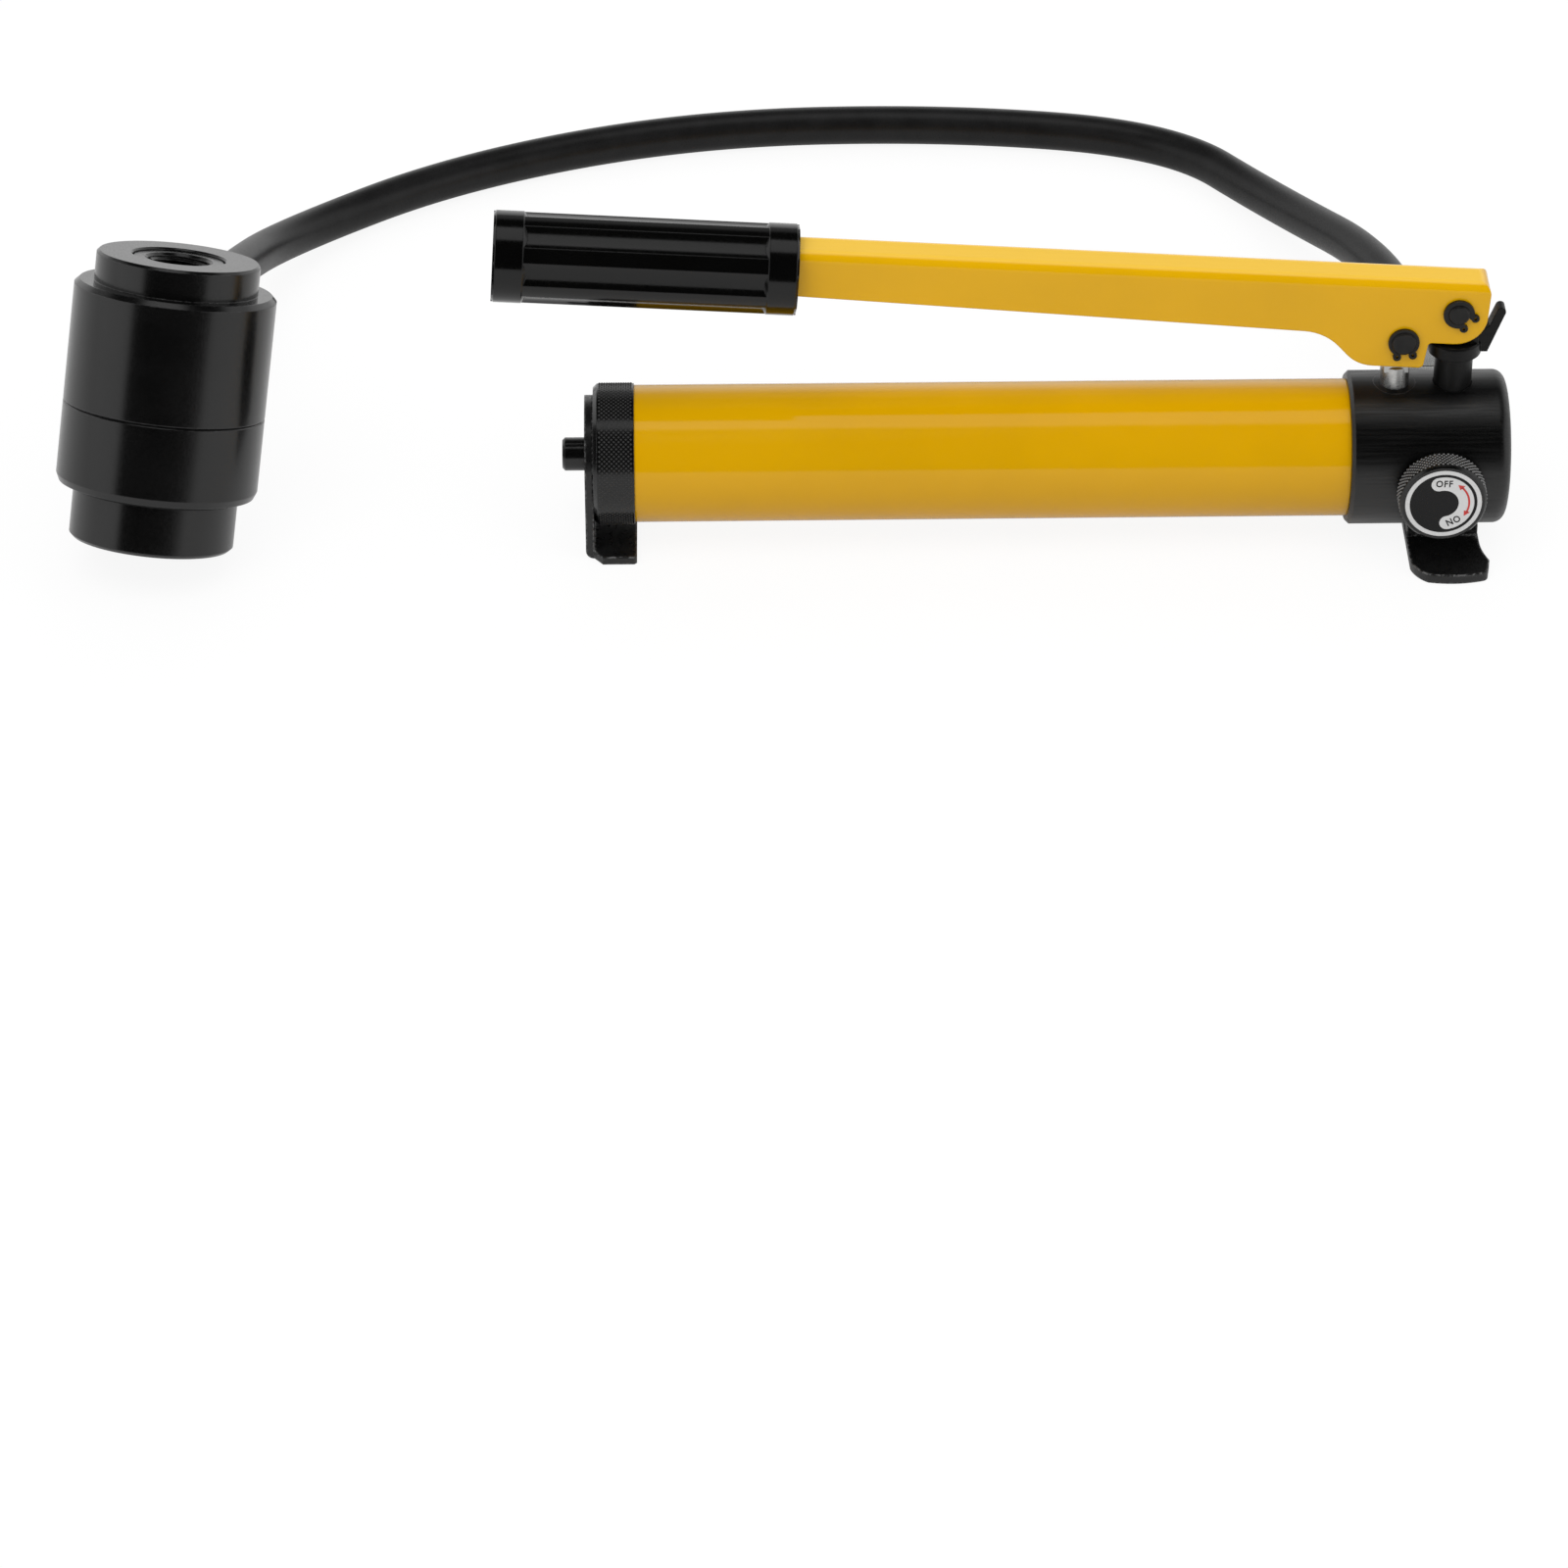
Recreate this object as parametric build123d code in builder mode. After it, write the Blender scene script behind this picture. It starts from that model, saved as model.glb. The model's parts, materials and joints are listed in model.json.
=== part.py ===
"""Hydraulic hand pump, high-pressure hose and pull ram of a knockout punch driver.

The pump lies along X with its head block to the right. The knob and the hose port share one
cross axis along Y through x = 0, and the pump's own axis is at z = AXIS_H over the floor, z = 0.
The ram stands at the far end of the hose and leans back on the rear edge of its cap.
"""

import os
from math import cos, radians, sin, tan

from build123d import *

os.makedirs("parts", exist_ok=True)

# ---------------------------------------------------------------- driving dimensions (mm)
SLIP = 0.05  # radial clearance of a shaft that runs in its bore
SEAT = 0.05  # radial clearance of a fixed piece in its bore

# pump body, along X
HEAD_R = 23.5
HEAD_LEFT = -26.9
HEAD_RIGHT = 21.6
HEAD_ROUND = 3.6  # round of the right end
FRONT_FOOT_T = 3.0
AXIS_H = FRONT_FOOT_T + HEAD_R  # pump axis above the floor
HEAD_TOP = AXIS_H + HEAD_R
TUBE_R = 21.0
TUBE_WALL = 2.4
TUBE_BORE_R = TUBE_R - TUBE_WALL
TUBE_LEFT = -244.5
CAP_R = TUBE_R + 0.5
CAP_LENGTH = 12.5
CAP_CHAMFER = 1.2
CAP_LEFT = TUBE_LEFT - CAP_LENGTH
SPIGOT_R = TUBE_BORE_R - SEAT
SPIGOT_LENGTH = 8.0
ORING_W = 2.4  # width and depth of the O-ring grooves on the two spigots
ORING_DEPTH = 1.7
NOSE_R = 12.0  # nose of the head that carries the oil bladder
NOSE_LENGTH = 10.0
NOSE_LEFT = HEAD_LEFT - SPIGOT_LENGTH - NOSE_LENGTH
BLADDER_R = TUBE_BORE_R - 1.2
BLADDER_WALL = 1.6

# feet
SHEET = 2.6
REAR_FOOT_R = CAP_R - 3.5
REAR_FLANGE_HALF = CAP_R
REAR_FLANGE_RIGHT = TUBE_LEFT + 0.5
REAR_SCREW_R = 3.0
REAR_SCREW_HEAD_R = 5.1
REAR_SCREW_HEAD = 6.9
REAR_SCREW_GRIP = 9.0
FRONT_FOOT_X = 2.8
FRONT_FOOT_HALF = 36.8
FRONT_FOOT_HALF_W = 11.0
TOE_FLARE = 2.1
SADDLE_HALF = 14.0
SADDLE_HALF_W = FRONT_FOOT_HALF_W - 0.2
SADDLE_H = 3.6
FOOT_SCREW_GAP = 17.0  # between the two screws under the head
FOOT_SCREW_R = 2.0
FOOT_SCREW_HEAD_R = 3.8
FOOT_SCREW_LENGTH = 12.0

# lever, in its own frame: u along the channel, w up, fulcrum pin at the origin
FULCRUM_X = 4.4
FULCRUM_HEIGHT = 27.2
FULCRUM_Z = HEAD_TOP + FULCRUM_HEIGHT
LEVER_TILT = 3.63
CHANNEL_W = 12.5
CHANNEL_WALL = 2.0
CHANNEL_BEND = 3.0
LEVER_TOP = 10.0
LEVER_END = 9.0
LEVER_TAIL = -283.0
TAIL_BOTTOM = -2.5
NECK_U = -39.6
NECK_BOTTOM = -8.8
LUG_U = -28.7
LUG_RIGHT_U = -7.9
LUG_CORNER_U = -8.7
LUG_BOTTOM = -19.6
FULCRUM_PIN_R = 3.2
PLUNGER_PIN_R = 3.7
PLUNGER_PIN_U = -15.45
PLUNGER_PIN_W = -10.8
PIN_HALF = 8.1
CLIP_T = 1.0
CLIP_R = 4.7
CLIP_DEPTH = 0.4  # depth of the pin groove that the clip sits in
CLIP_GAP = 2.6
CLIP_EAR_R = 1.25
CLIP_EAR_HOLE_R = 0.5

# grip
GRIP_R = 13.8
GRIP_RIGHT = -199.6
GRIP_LENGTH = 91.6
GRIP_W = 0.9
GRIP_COLLAR = 9.0
GRIP_LAND_R = GRIP_R - 0.2  # lands between the flutes
FLUTES = 7
FLUTE_R = 12.0
FLUTE_DEPTH = 1.3
FLUTE_START = 19.5
POCKET_GAP = 0.1

# plunger and fulcrum post, on top of the head
PLUNGER_X = -13.1
PLUNGER_R = 4.5
PLUNGER_RISE = 7.0  # of its shoulder over the head
PLUNGER_SHOULDER = HEAD_TOP + PLUNGER_RISE
TONGUE_T = 7.6
CHAMBER_DROP = 6.5  # of the chamber's floor under the pump axis
CHAMBER_FLOOR = AXIS_H - CHAMBER_DROP
PLUNGER_BOTTOM = CHAMBER_FLOOR + 3.0
GLAND_SEAT_Z = HEAD_TOP - 2.6
GLAND_R = 6.3
GLAND_H = 2.0
GLAND_CHAMFER = 0.3
GLAND_THREAD_R = 6.0
GLAND_THREAD = 5.0
SEAL_T = 2.8
SEAL_Z = GLAND_SEAT_Z - GLAND_THREAD - SEAL_T - 0.2
POST_X = 4.6
POST_R = 5.8
POST_SEAT_Z = HEAD_TOP - 1.4
POST_STUD_R = 4.0
POST_STUD = 10.0
POST_FLANGE_R = 8.0
POST_HEIGHT = 11.0
POST_FLANGE_Z = HEAD_TOP + POST_HEIGHT
POST_FLANGE_T = 4.3
POST_EYE_R = 6.6
HORN_X = FULCRUM_X + 13.4  # tip of the horn behind the lever
HORN_Z = FULCRUM_Z - 2.1
HORN_R = 1.4
HORN_T = 4.4

# valves inside the head
VALVE_BORE_R = 3.25
BALL_R = 2.5
VALVE_HOLE_R = 1.5
BALL_SEAT = 2.02  # ball centre from its seat: 2.0 is touching
VALVE_COIL_R = 1.9
WIRE_R = 0.4
VALVE_TURNS = 4
INLET_Z = AXIS_H - 5.0
INLET_SEAT_X = HEAD_LEFT - 6.6
INLET_BORE_END = HEAD_LEFT + 4.5
OUTLET_SEAT_Z = AXIS_H - 10.5
RELIEF_Y = 10.0
RELIEF_SEAT_X = 9.5
RELIEF_DRAIN_X = 15.0
RELIEF_RECESS = 0.8
RETURN_Y = -9.0
INLET_SPRING = 6.5
OUTLET_SPRING = 4.2
RELIEF_SPRING = 5.0

# release valve, along Y
KNOB_R = 13.2
KNOB_GAP = 1.0
KNOB_LENGTH = 8.5
KNOB_BACK = -HEAD_R - KNOB_GAP
KNOB_FRONT = KNOB_BACK - KNOB_LENGTH
KNOB_CHAMFER = 0.7
DIAL_R = 11.65
DIAL_T = 0.8
STEM_R = 4.0 - SLIP
STEM_NECK_R = 2.5
STEM_SHOULDER_Y = -12.0
STEM_CONE_Y = -1.0
STEM_TIP_Y = 1.6
STEM_RING_Y = -HEAD_R + 3.3
STEM_RING_W = 2.2
STEM_RING_DEPTH = 1.2

# hose end at the pump, along +Y
PORT_FACE_Y = HEAD_R - 1.1
PORT_FLAT_R = 10.2
PORT_R = 6.5
PORT_FLOOR_Y = 8.0
THREAD_END_Y = PORT_FACE_Y - 10.0
WASHER_T = 1.5
WASHER_R = 9.1
HEX_AF = 17.0
ADAPTER_HEX = 9.1
ADAPTER_END_Y = PORT_FACE_Y + WASHER_T + ADAPTER_HEX
ADAPTER_STUB_R = 5.5
ADAPTER_STUB = 8.0
OIL_WAY_R = 2.0
NUT_GAP = 0.6
NUT_END_Y = ADAPTER_END_Y + 12.0
FERRULE_R = 8.4
FERRULE_STEM_R = 5.2
PUMP_FERRULE_END_Y = NUT_END_Y + 23.0

# hose
HOSE_R = 6.4
HOSE_BORE_R = 3.2
HOSE_LAY_Z = HOSE_R + 0.05
HOSE_LEAD = 42.0  # straight lead out of each ferrule
HOSE_PUMP_LEAD = 40.0

# ram, in its own frame: h along its axis from the rear face
RAM_X = -392.0
RAM_Y = -19.4
RAM_LEAN_BACK = 20.7
RAM_LEAN_RIGHT = 7.8
RAM_R = 30.6
RAM_BOSS_R = RAM_R - 5.8
RAM_TOP = 88.0
RAM_SHOULDER = 78.8
RAM_JOINT = 41.3
RING_BOTTOM = 15.9
JOINT_GROOVE = 0.45  # half width and depth of the groove round the joint
RING_FLOOR = 3.0
RAM_CAP_R = RAM_R - 5.6
RAM_CAP_CHAMFER = 1.0
RAM_BORE_R = RAM_R - 7.6
RAM_SKIRT_R = RAM_R - 3.6
RAM_SKIRT_BOTTOM = RING_BOTTOM + 7.0
RAM_WALL_H = 66.0
SHOULDER_ROUND = 1.5
BOSS_CHAMFER = 0.8
ROD_BORE_R = 14.0
ROD_R = ROD_BORE_R - SLIP
ROD_TOP = 87.2
ROD_SEAL_INSET = 11.0
ROD_SEAL_TOP = RAM_TOP - ROD_SEAL_INSET
ROD_SEAL_W = 3.4
ROD_SEAL_DEPTH = 2.0
ROD_THREAD_R = 9.525
ROD_THREAD_DEPTH = 26.0
THREAD_CHAMFER = 0.8
DRILL_POINT = 4.0
PISTON_R = RAM_BORE_R - SLIP
PISTON_BOTTOM = 52.0
PISTON_TOP = RAM_WALL_H - 0.4
PISTON_LAND = 5.0
PISTON_SEAL_W = 3.6
PISTON_SEAL_R = RAM_BORE_R - 2.4
CAP_FLOOR = 6.0
SPRING_R = 17.0
SPRING_WIRE_R = 1.75
SPRING_TURNS = 5.5
SPRING_ROOM = 0.8
PORT_TURN = 8.0
RAM_PORT_H = 66.0
RAM_FLAT = RAM_R - 0.8
RAM_FLAT_R = 10.3
RAM_THREAD_START = RAM_BORE_R + 1.8
RAM_ADAPTER_END = RAM_FLAT + 11.2
RAM_FERRULE_START = RAM_ADAPTER_END + 2.0
RAM_FERRULE_END = RAM_FERRULE_START + 24.0

# ---------------------------------------------------------------- working frames
# A section plane carries (radius, distance along the axis) outlines; its local y is the axis.
X_SECTION = Plane(origin=(0, 0, AXIS_H), x_dir=(0, 0, 1), z_dir=(0, 1, 0))
Y_SECTION = Plane(origin=(0, 0, AXIS_H), x_dir=(1, 0, 0), z_dir=(0, 0, 1))
PLUNGER_SECTION = Plane(origin=(PLUNGER_X, 0, 0), x_dir=(1, 0, 0), z_dir=(0, -1, 0))
LEVER = Plane(
    origin=(FULCRUM_X, 0, FULCRUM_Z),
    x_dir=(cos(radians(LEVER_TILT)), 0, -sin(radians(LEVER_TILT))),
    z_dir=(0, -1, 0),
)

ram_axis = Vector(tan(radians(RAM_LEAN_RIGHT)), tan(radians(RAM_LEAN_BACK)), 1).normalized()
ram_lean = Vector(0, 0, 1).get_angle(ram_axis)
ram_foot = Vector(RAM_X, RAM_Y, (RAM_CAP_R - RAM_CAP_CHAMFER) * sin(radians(ram_lean)))
port_straight = (Vector(0, 1, 0) - ram_axis * ram_axis.Y).normalized()
port_axis = port_straight.rotate(Axis((0, 0, 0), tuple(ram_axis)), -PORT_TURN)
RAM_SECTION = Plane(origin=ram_foot, x_dir=port_axis, z_dir=port_axis.cross(ram_axis))
RAM_PORT_SECTION = Plane(
    origin=ram_foot + ram_axis * RAM_PORT_H, x_dir=ram_axis, z_dir=ram_axis.cross(port_axis)
)


def outline(section, *points):
    """A closed face on a section plane."""
    with BuildSketch(section) as face:
        with BuildLine():
            Polyline(*points, close=True)
        make_face()
    return face.sketch


def spin(section):
    """The turning axis of a section plane."""
    return Axis(section.origin, section.y_dir)


def across(section, distance):
    """The plane square to a section's axis, at a distance along it."""
    return Plane(
        origin=section.origin + section.y_dir * distance,
        x_dir=section.x_dir,
        z_dir=section.y_dir,
    )


def save(builder, name):
    """Label a finished piece and write its STEP file."""
    builder.part.label = name
    export_step(builder.part, f"parts/{name}.step")


def oring_groove(left):
    """The section of an O-ring groove round a spigot of the pump body."""
    floor_r, outside_r = SPIGOT_R - ORING_DEPTH, SPIGOT_R + 1
    right = left + ORING_W
    return outline(X_SECTION, (floor_r, left), (outside_r, left), (outside_r, right), (floor_r, right))


# ---------------------------------------------------------------- pump body
with BuildPart() as head_block:
    with BuildSketch(across(X_SECTION, HEAD_LEFT)):
        Circle(HEAD_R)
    extrude(amount=HEAD_RIGHT - HEAD_LEFT)
    ends = head_block.edges().filter_by(GeomType.CIRCLE).sort_by(Axis.X)
    fillet(ends[-1], radius=HEAD_ROUND)
    chamfer(ends[0], length=1.0)
    with BuildSketch(across(X_SECTION, HEAD_LEFT)):
        Circle(SPIGOT_R)
    extrude(amount=-SPIGOT_LENGTH)
    with BuildSketch(across(X_SECTION, HEAD_LEFT - SPIGOT_LENGTH)):
        Circle(NOSE_R)
    extrude(amount=NOSE_LEFT - HEAD_LEFT + SPIGOT_LENGTH)
    head_groove = HEAD_LEFT - (SPIGOT_LENGTH + ORING_W) / 2
    revolve(oring_groove(head_groove), axis=spin(X_SECTION), mode=Mode.SUBTRACT)
    # plunger bore, its gland thread and the flat for the gland
    with BuildSketch(Plane.XY.offset(CHAMBER_FLOOR)):
        with Locations((PLUNGER_X, 0)):
            Circle(PLUNGER_R + SLIP)
    extrude(amount=2 * HEAD_R, mode=Mode.SUBTRACT)
    with BuildSketch(Plane.XY.offset(SEAL_Z)):
        with Locations((PLUNGER_X, 0)):
            Circle(GLAND_THREAD_R)
    extrude(amount=HEAD_R, mode=Mode.SUBTRACT)
    with BuildSketch(Plane.XY.offset(GLAND_SEAT_Z)):
        with Locations((PLUNGER_X, 0)):
            Circle(GLAND_R + 0.1)
    extrude(amount=HEAD_R, mode=Mode.SUBTRACT)
    # seat and stud hole of the fulcrum post
    with BuildSketch(Plane.XY.offset(POST_SEAT_Z)):
        with Locations((POST_X, 0)):
            Circle(POST_R + 0.1)
    extrude(amount=HEAD_R, mode=Mode.SUBTRACT)
    with BuildSketch(Plane.XY.offset(POST_SEAT_Z - POST_STUD - 0.5)):
        with Locations((POST_X, 0)):
            Circle(POST_STUD_R + SEAT)
    extrude(amount=HEAD_R, mode=Mode.SUBTRACT)
    # inlet valve from the nose, outlet valve from below, relief valve from the right end
    with BuildSketch(Plane.YZ.offset(NOSE_LEFT)):
        with Locations((0, INLET_Z)):
            Circle(VALVE_BORE_R)
    extrude(amount=INLET_BORE_END - NOSE_LEFT, mode=Mode.SUBTRACT)
    with BuildSketch(Plane.YZ.offset(INLET_BORE_END - 1)):
        with Locations((0, INLET_Z)):
            Circle(VALVE_HOLE_R)
    extrude(amount=PLUNGER_X - INLET_BORE_END + 1, mode=Mode.SUBTRACT)
    with BuildSketch(Plane.XY):
        with Locations((PLUNGER_X, 0)):
            Circle(VALVE_BORE_R)
    extrude(amount=OUTLET_SEAT_Z, mode=Mode.SUBTRACT)
    with BuildSketch(Plane.XY.offset(OUTLET_SEAT_Z - 1)):
        with Locations((PLUNGER_X, 0)):
            Circle(VALVE_HOLE_R)
    extrude(amount=CHAMBER_FLOOR - OUTLET_SEAT_Z + 2, mode=Mode.SUBTRACT)
    with BuildSketch(Plane.YZ.offset(HEAD_RIGHT)):
        with Locations((RELIEF_Y, AXIS_H)):
            Circle(VALVE_BORE_R)
    extrude(amount=RELIEF_SEAT_X - HEAD_RIGHT, mode=Mode.SUBTRACT)
    with BuildSketch(Plane.YZ):
        with Locations((RELIEF_Y, AXIS_H)):
            Circle(VALVE_HOLE_R)
    extrude(amount=RELIEF_SEAT_X + 1, mode=Mode.SUBTRACT)
    # hose port from the rear, release-valve bore from the front, and their passages
    with BuildSketch(across(Y_SECTION, PORT_FACE_Y)):
        Circle(PORT_FLAT_R)
    extrude(amount=HEAD_R, mode=Mode.SUBTRACT)
    with BuildSketch(across(Y_SECTION, PORT_FLOOR_Y)):
        Circle(PORT_R + SEAT)
    extrude(amount=HEAD_R, mode=Mode.SUBTRACT)
    with BuildSketch(across(Y_SECTION, 0)):
        Circle(STEM_R + SLIP)
    extrude(amount=-HEAD_R - 1, mode=Mode.SUBTRACT)
    with BuildSketch(across(Y_SECTION, -1)):
        Circle(VALVE_HOLE_R)
    extrude(amount=PORT_FLOOR_Y + 2, mode=Mode.SUBTRACT)
    with BuildSketch(Plane.YZ.offset(NOSE_LEFT)):
        with Locations((RETURN_Y, AXIS_H)):
            Circle(VALVE_HOLE_R)
    extrude(amount=RELIEF_DRAIN_X - NOSE_LEFT, mode=Mode.SUBTRACT)
    with BuildSketch(Plane.XZ.offset(-RELIEF_Y)):
        with Locations((RELIEF_DRAIN_X, AXIS_H)):
            Circle(VALVE_HOLE_R)
    extrude(amount=RELIEF_Y - RETURN_Y, mode=Mode.SUBTRACT)
    gallery_from = Vector(0, RELIEF_Y, AXIS_H - PORT_R + 1)
    gallery_to = Vector(PLUNGER_X, 0, OUTLET_SEAT_Z - 4)
    with BuildSketch(Plane(origin=gallery_to, z_dir=gallery_from - gallery_to)):
        Circle(VALVE_HOLE_R)
    extrude(amount=(gallery_from - gallery_to).length, mode=Mode.SUBTRACT)
    # tapped holes for the foot
    with BuildSketch(Plane.XY):
        with GridLocations(0, FOOT_SCREW_GAP, 1, 2):
            Circle(FOOT_SCREW_R + SEAT)
    extrude(amount=FOOT_SCREW_LENGTH + 1, mode=Mode.SUBTRACT)
save(head_block, "head_block")

with BuildPart() as reservoir_tube:
    with BuildSketch(across(X_SECTION, TUBE_LEFT)):
        Circle(TUBE_R)
        Circle(TUBE_BORE_R, mode=Mode.SUBTRACT)
    extrude(amount=HEAD_LEFT - TUBE_LEFT)
save(reservoir_tube, "reservoir_tube")

with BuildPart() as end_cap:
    with BuildSketch(across(X_SECTION, CAP_LEFT)):
        Circle(CAP_R)
    extrude(amount=CAP_LENGTH)
    chamfer(end_cap.edges().filter_by(GeomType.CIRCLE).sort_by(Axis.X)[0], length=CAP_CHAMFER)
    with BuildSketch(across(X_SECTION, TUBE_LEFT)):
        Circle(SPIGOT_R)
    extrude(amount=SPIGOT_LENGTH)
    cap_groove = TUBE_LEFT + (SPIGOT_LENGTH - ORING_W) / 2
    revolve(oring_groove(cap_groove), axis=spin(X_SECTION), mode=Mode.SUBTRACT)
    with BuildSketch(across(X_SECTION, CAP_LEFT)):
        Circle(REAR_SCREW_R + SEAT)
    extrude(amount=REAR_SCREW_GRIP + 1, mode=Mode.SUBTRACT)
save(end_cap, "end_cap")

for seal_name, seal_left in (("head_oring", head_groove), ("cap_oring", cap_groove)):
    with BuildPart() as spigot_oring:
        with BuildSketch(across(X_SECTION, seal_left + 0.1)):
            Circle(SPIGOT_R)
            Circle(SPIGOT_R - ORING_DEPTH + SEAT, mode=Mode.SUBTRACT)
        extrude(amount=ORING_W - 0.2)
        fillet(spigot_oring.edges().filter_by(GeomType.CIRCLE), radius=0.7)
    save(spigot_oring, seal_name)

bladder_tail = TUBE_LEFT + SPIGOT_LENGTH + 6
with BuildPart() as oil_bladder:
    revolve(
        outline(
            X_SECTION,
            (0, bladder_tail),
            (BLADDER_R - 8, bladder_tail),
            (BLADDER_R, bladder_tail + 8),
            (BLADDER_R, NOSE_LEFT - 6),
            (NOSE_R + SEAT + BLADDER_WALL, NOSE_LEFT - 1),
            (NOSE_R + SEAT + BLADDER_WALL, NOSE_LEFT + 8),
            (NOSE_R + SEAT, NOSE_LEFT + 8),
            (NOSE_R + SEAT, NOSE_LEFT - 1.6),
            (BLADDER_R - BLADDER_WALL, NOSE_LEFT - 6.6),
            (BLADDER_R - BLADDER_WALL, bladder_tail + 8.6),
            (BLADDER_R - 8.6, bladder_tail + BLADDER_WALL),
            (0, bladder_tail + BLADDER_WALL),
        ),
        axis=spin(X_SECTION),
    )
save(oil_bladder, "oil_bladder")

with BuildPart() as bladder_band:
    with BuildSketch(across(X_SECTION, NOSE_LEFT + 2)):
        Circle(NOSE_R + BLADDER_WALL + 2 * SEAT + 1.2)
        Circle(NOSE_R + BLADDER_WALL + 2 * SEAT, mode=Mode.SUBTRACT)
    extrude(amount=4.0)
save(bladder_band, "bladder_band")

# ---------------------------------------------------------------- feet
plate_left = CAP_LEFT - SHEET
toe_start = FRONT_FOOT_HALF - 8.5
with BuildPart() as rear_foot:
    with BuildSketch(Plane.YZ.offset(plate_left)):
        with Locations((0, AXIS_H)):
            Circle(REAR_FOOT_R)
        with Locations((0, AXIS_H / 2)):
            Rectangle(2 * REAR_FOOT_R, AXIS_H)
        with Locations((0, AXIS_H)):
            Circle(REAR_SCREW_R + SEAT, mode=Mode.SUBTRACT)
    extrude(amount=SHEET)
    with BuildSketch(Plane.XY):
        with BuildLine():
            Polyline(
                (plate_left, REAR_FOOT_R),
                (plate_left + SHEET, REAR_FOOT_R),
                (plate_left + 2 * SHEET, REAR_FLANGE_HALF),
                (REAR_FLANGE_RIGHT - 0.8, REAR_FLANGE_HALF),
                (REAR_FLANGE_RIGHT, REAR_FLANGE_HALF - 0.8),
                (REAR_FLANGE_RIGHT, 0),
                (plate_left, 0),
                close=True,
            )
        make_face()
        mirror(about=Plane.XZ)
    extrude(amount=SHEET)
    heel = rear_foot.edges().filter_by(Axis.Y).group_by(Axis.Z)[0].sort_by(Axis.X)[0]
    fillet(heel, radius=SHEET)
save(rear_foot, "rear_foot")

with BuildPart() as rear_screw:
    with BuildSketch(across(X_SECTION, plate_left - REAR_SCREW_HEAD)):
        Circle(REAR_SCREW_HEAD_R)
    extrude(amount=REAR_SCREW_HEAD)
    chamfer(rear_screw.edges().filter_by(GeomType.CIRCLE).sort_by(Axis.X)[0], length=0.8)
    with BuildSketch(across(X_SECTION, plate_left)):
        Circle(REAR_SCREW_R)
    extrude(amount=SHEET + REAR_SCREW_GRIP)
    with BuildSketch(across(X_SECTION, plate_left - REAR_SCREW_HEAD)):
        RegularPolygon(REAR_SCREW_R - 0.1, 6)
    extrude(amount=REAR_SCREW_R + 0.2, mode=Mode.SUBTRACT)
save(rear_screw, "rear_screw")

foot_left = FRONT_FOOT_X - FRONT_FOOT_HALF_W
foot_right = FRONT_FOOT_X + FRONT_FOOT_HALF_W
with BuildPart() as front_foot:
    with BuildSketch(Plane.XY):
        with BuildLine():
            toe_left = (foot_left + 4.7, -FRONT_FOOT_HALF + 0.9)
            toe_right = (foot_right + TOE_FLARE - 1.2, -FRONT_FOOT_HALF + 1.9)
            toe_corner = (foot_right + TOE_FLARE, -toe_start)
            Line((foot_left, 0), (foot_left, -toe_start))
            ThreePointArc(
                (foot_left, -toe_start), (foot_left + 1.7, -toe_start - 4.4), toe_left
            )
            ThreePointArc(toe_left, (FRONT_FOOT_X + 1.2, -FRONT_FOOT_HALF), toe_right)
            Line(toe_right, toe_corner)
            ThreePointArc(
                toe_corner, (foot_right + 0.6, -toe_start + 4.8), (foot_right, -toe_start + 11)
            )
            Line((foot_right, -toe_start + 11), (foot_right, 0))
            Line((foot_right, 0), (foot_left, 0))
        make_face()
        mirror(about=Plane.XZ)
    extrude(amount=FRONT_FOOT_T)
    toes = front_foot.edges().filter_by(Axis.Z).group_by(Axis.X)[-1]
    fillet(toes, radius=1.0)
    with BuildSketch(Plane.XY.offset(FRONT_FOOT_T)):
        with Locations((FRONT_FOOT_X, 0)):
            Rectangle(2 * SADDLE_HALF_W, 2 * SADDLE_HALF)
    extrude(amount=SADDLE_H)
    with BuildSketch(across(X_SECTION, HEAD_LEFT)):
        Circle(HEAD_R)
    extrude(amount=HEAD_RIGHT - HEAD_LEFT, mode=Mode.SUBTRACT)
    with Locations(Plane.XY.rotated((180, 0, 0))):
        with GridLocations(0, FOOT_SCREW_GAP, 1, 2):
            CounterSinkHole(
                radius=FOOT_SCREW_R + 0.15,
                counter_sink_radius=FOOT_SCREW_HEAD_R + 0.4,
                depth=FOOT_SCREW_LENGTH,
            )
save(front_foot, "front_foot")

with BuildPart() as foot_screws:
    for side in (-1, 1):
        screw_section = Plane(
            origin=(0, side * FOOT_SCREW_GAP / 2, 0), x_dir=(1, 0, 0), z_dir=(0, -1, 0)
        )
        revolve(
            outline(
                screw_section,
                (0, 0.3),
                (FOOT_SCREW_HEAD_R, 0.3),
                (FOOT_SCREW_R, 0.3 + FOOT_SCREW_HEAD_R - FOOT_SCREW_R),
                (FOOT_SCREW_R, FOOT_SCREW_LENGTH),
                (0, FOOT_SCREW_LENGTH),
            ),
            axis=spin(screw_section),
        )
save(foot_screws, "foot_screws")

# ---------------------------------------------------------------- lever and grip
def lever_section(u, w=0):
    """The plane across the lever at a point of it, with x along +Y and y away from the pump."""
    foot = LEVER.from_local_coords(Vector(u, w, 0))
    return Plane(origin=foot, x_dir=(0, 1, 0), z_dir=LEVER.x_dir)


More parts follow.
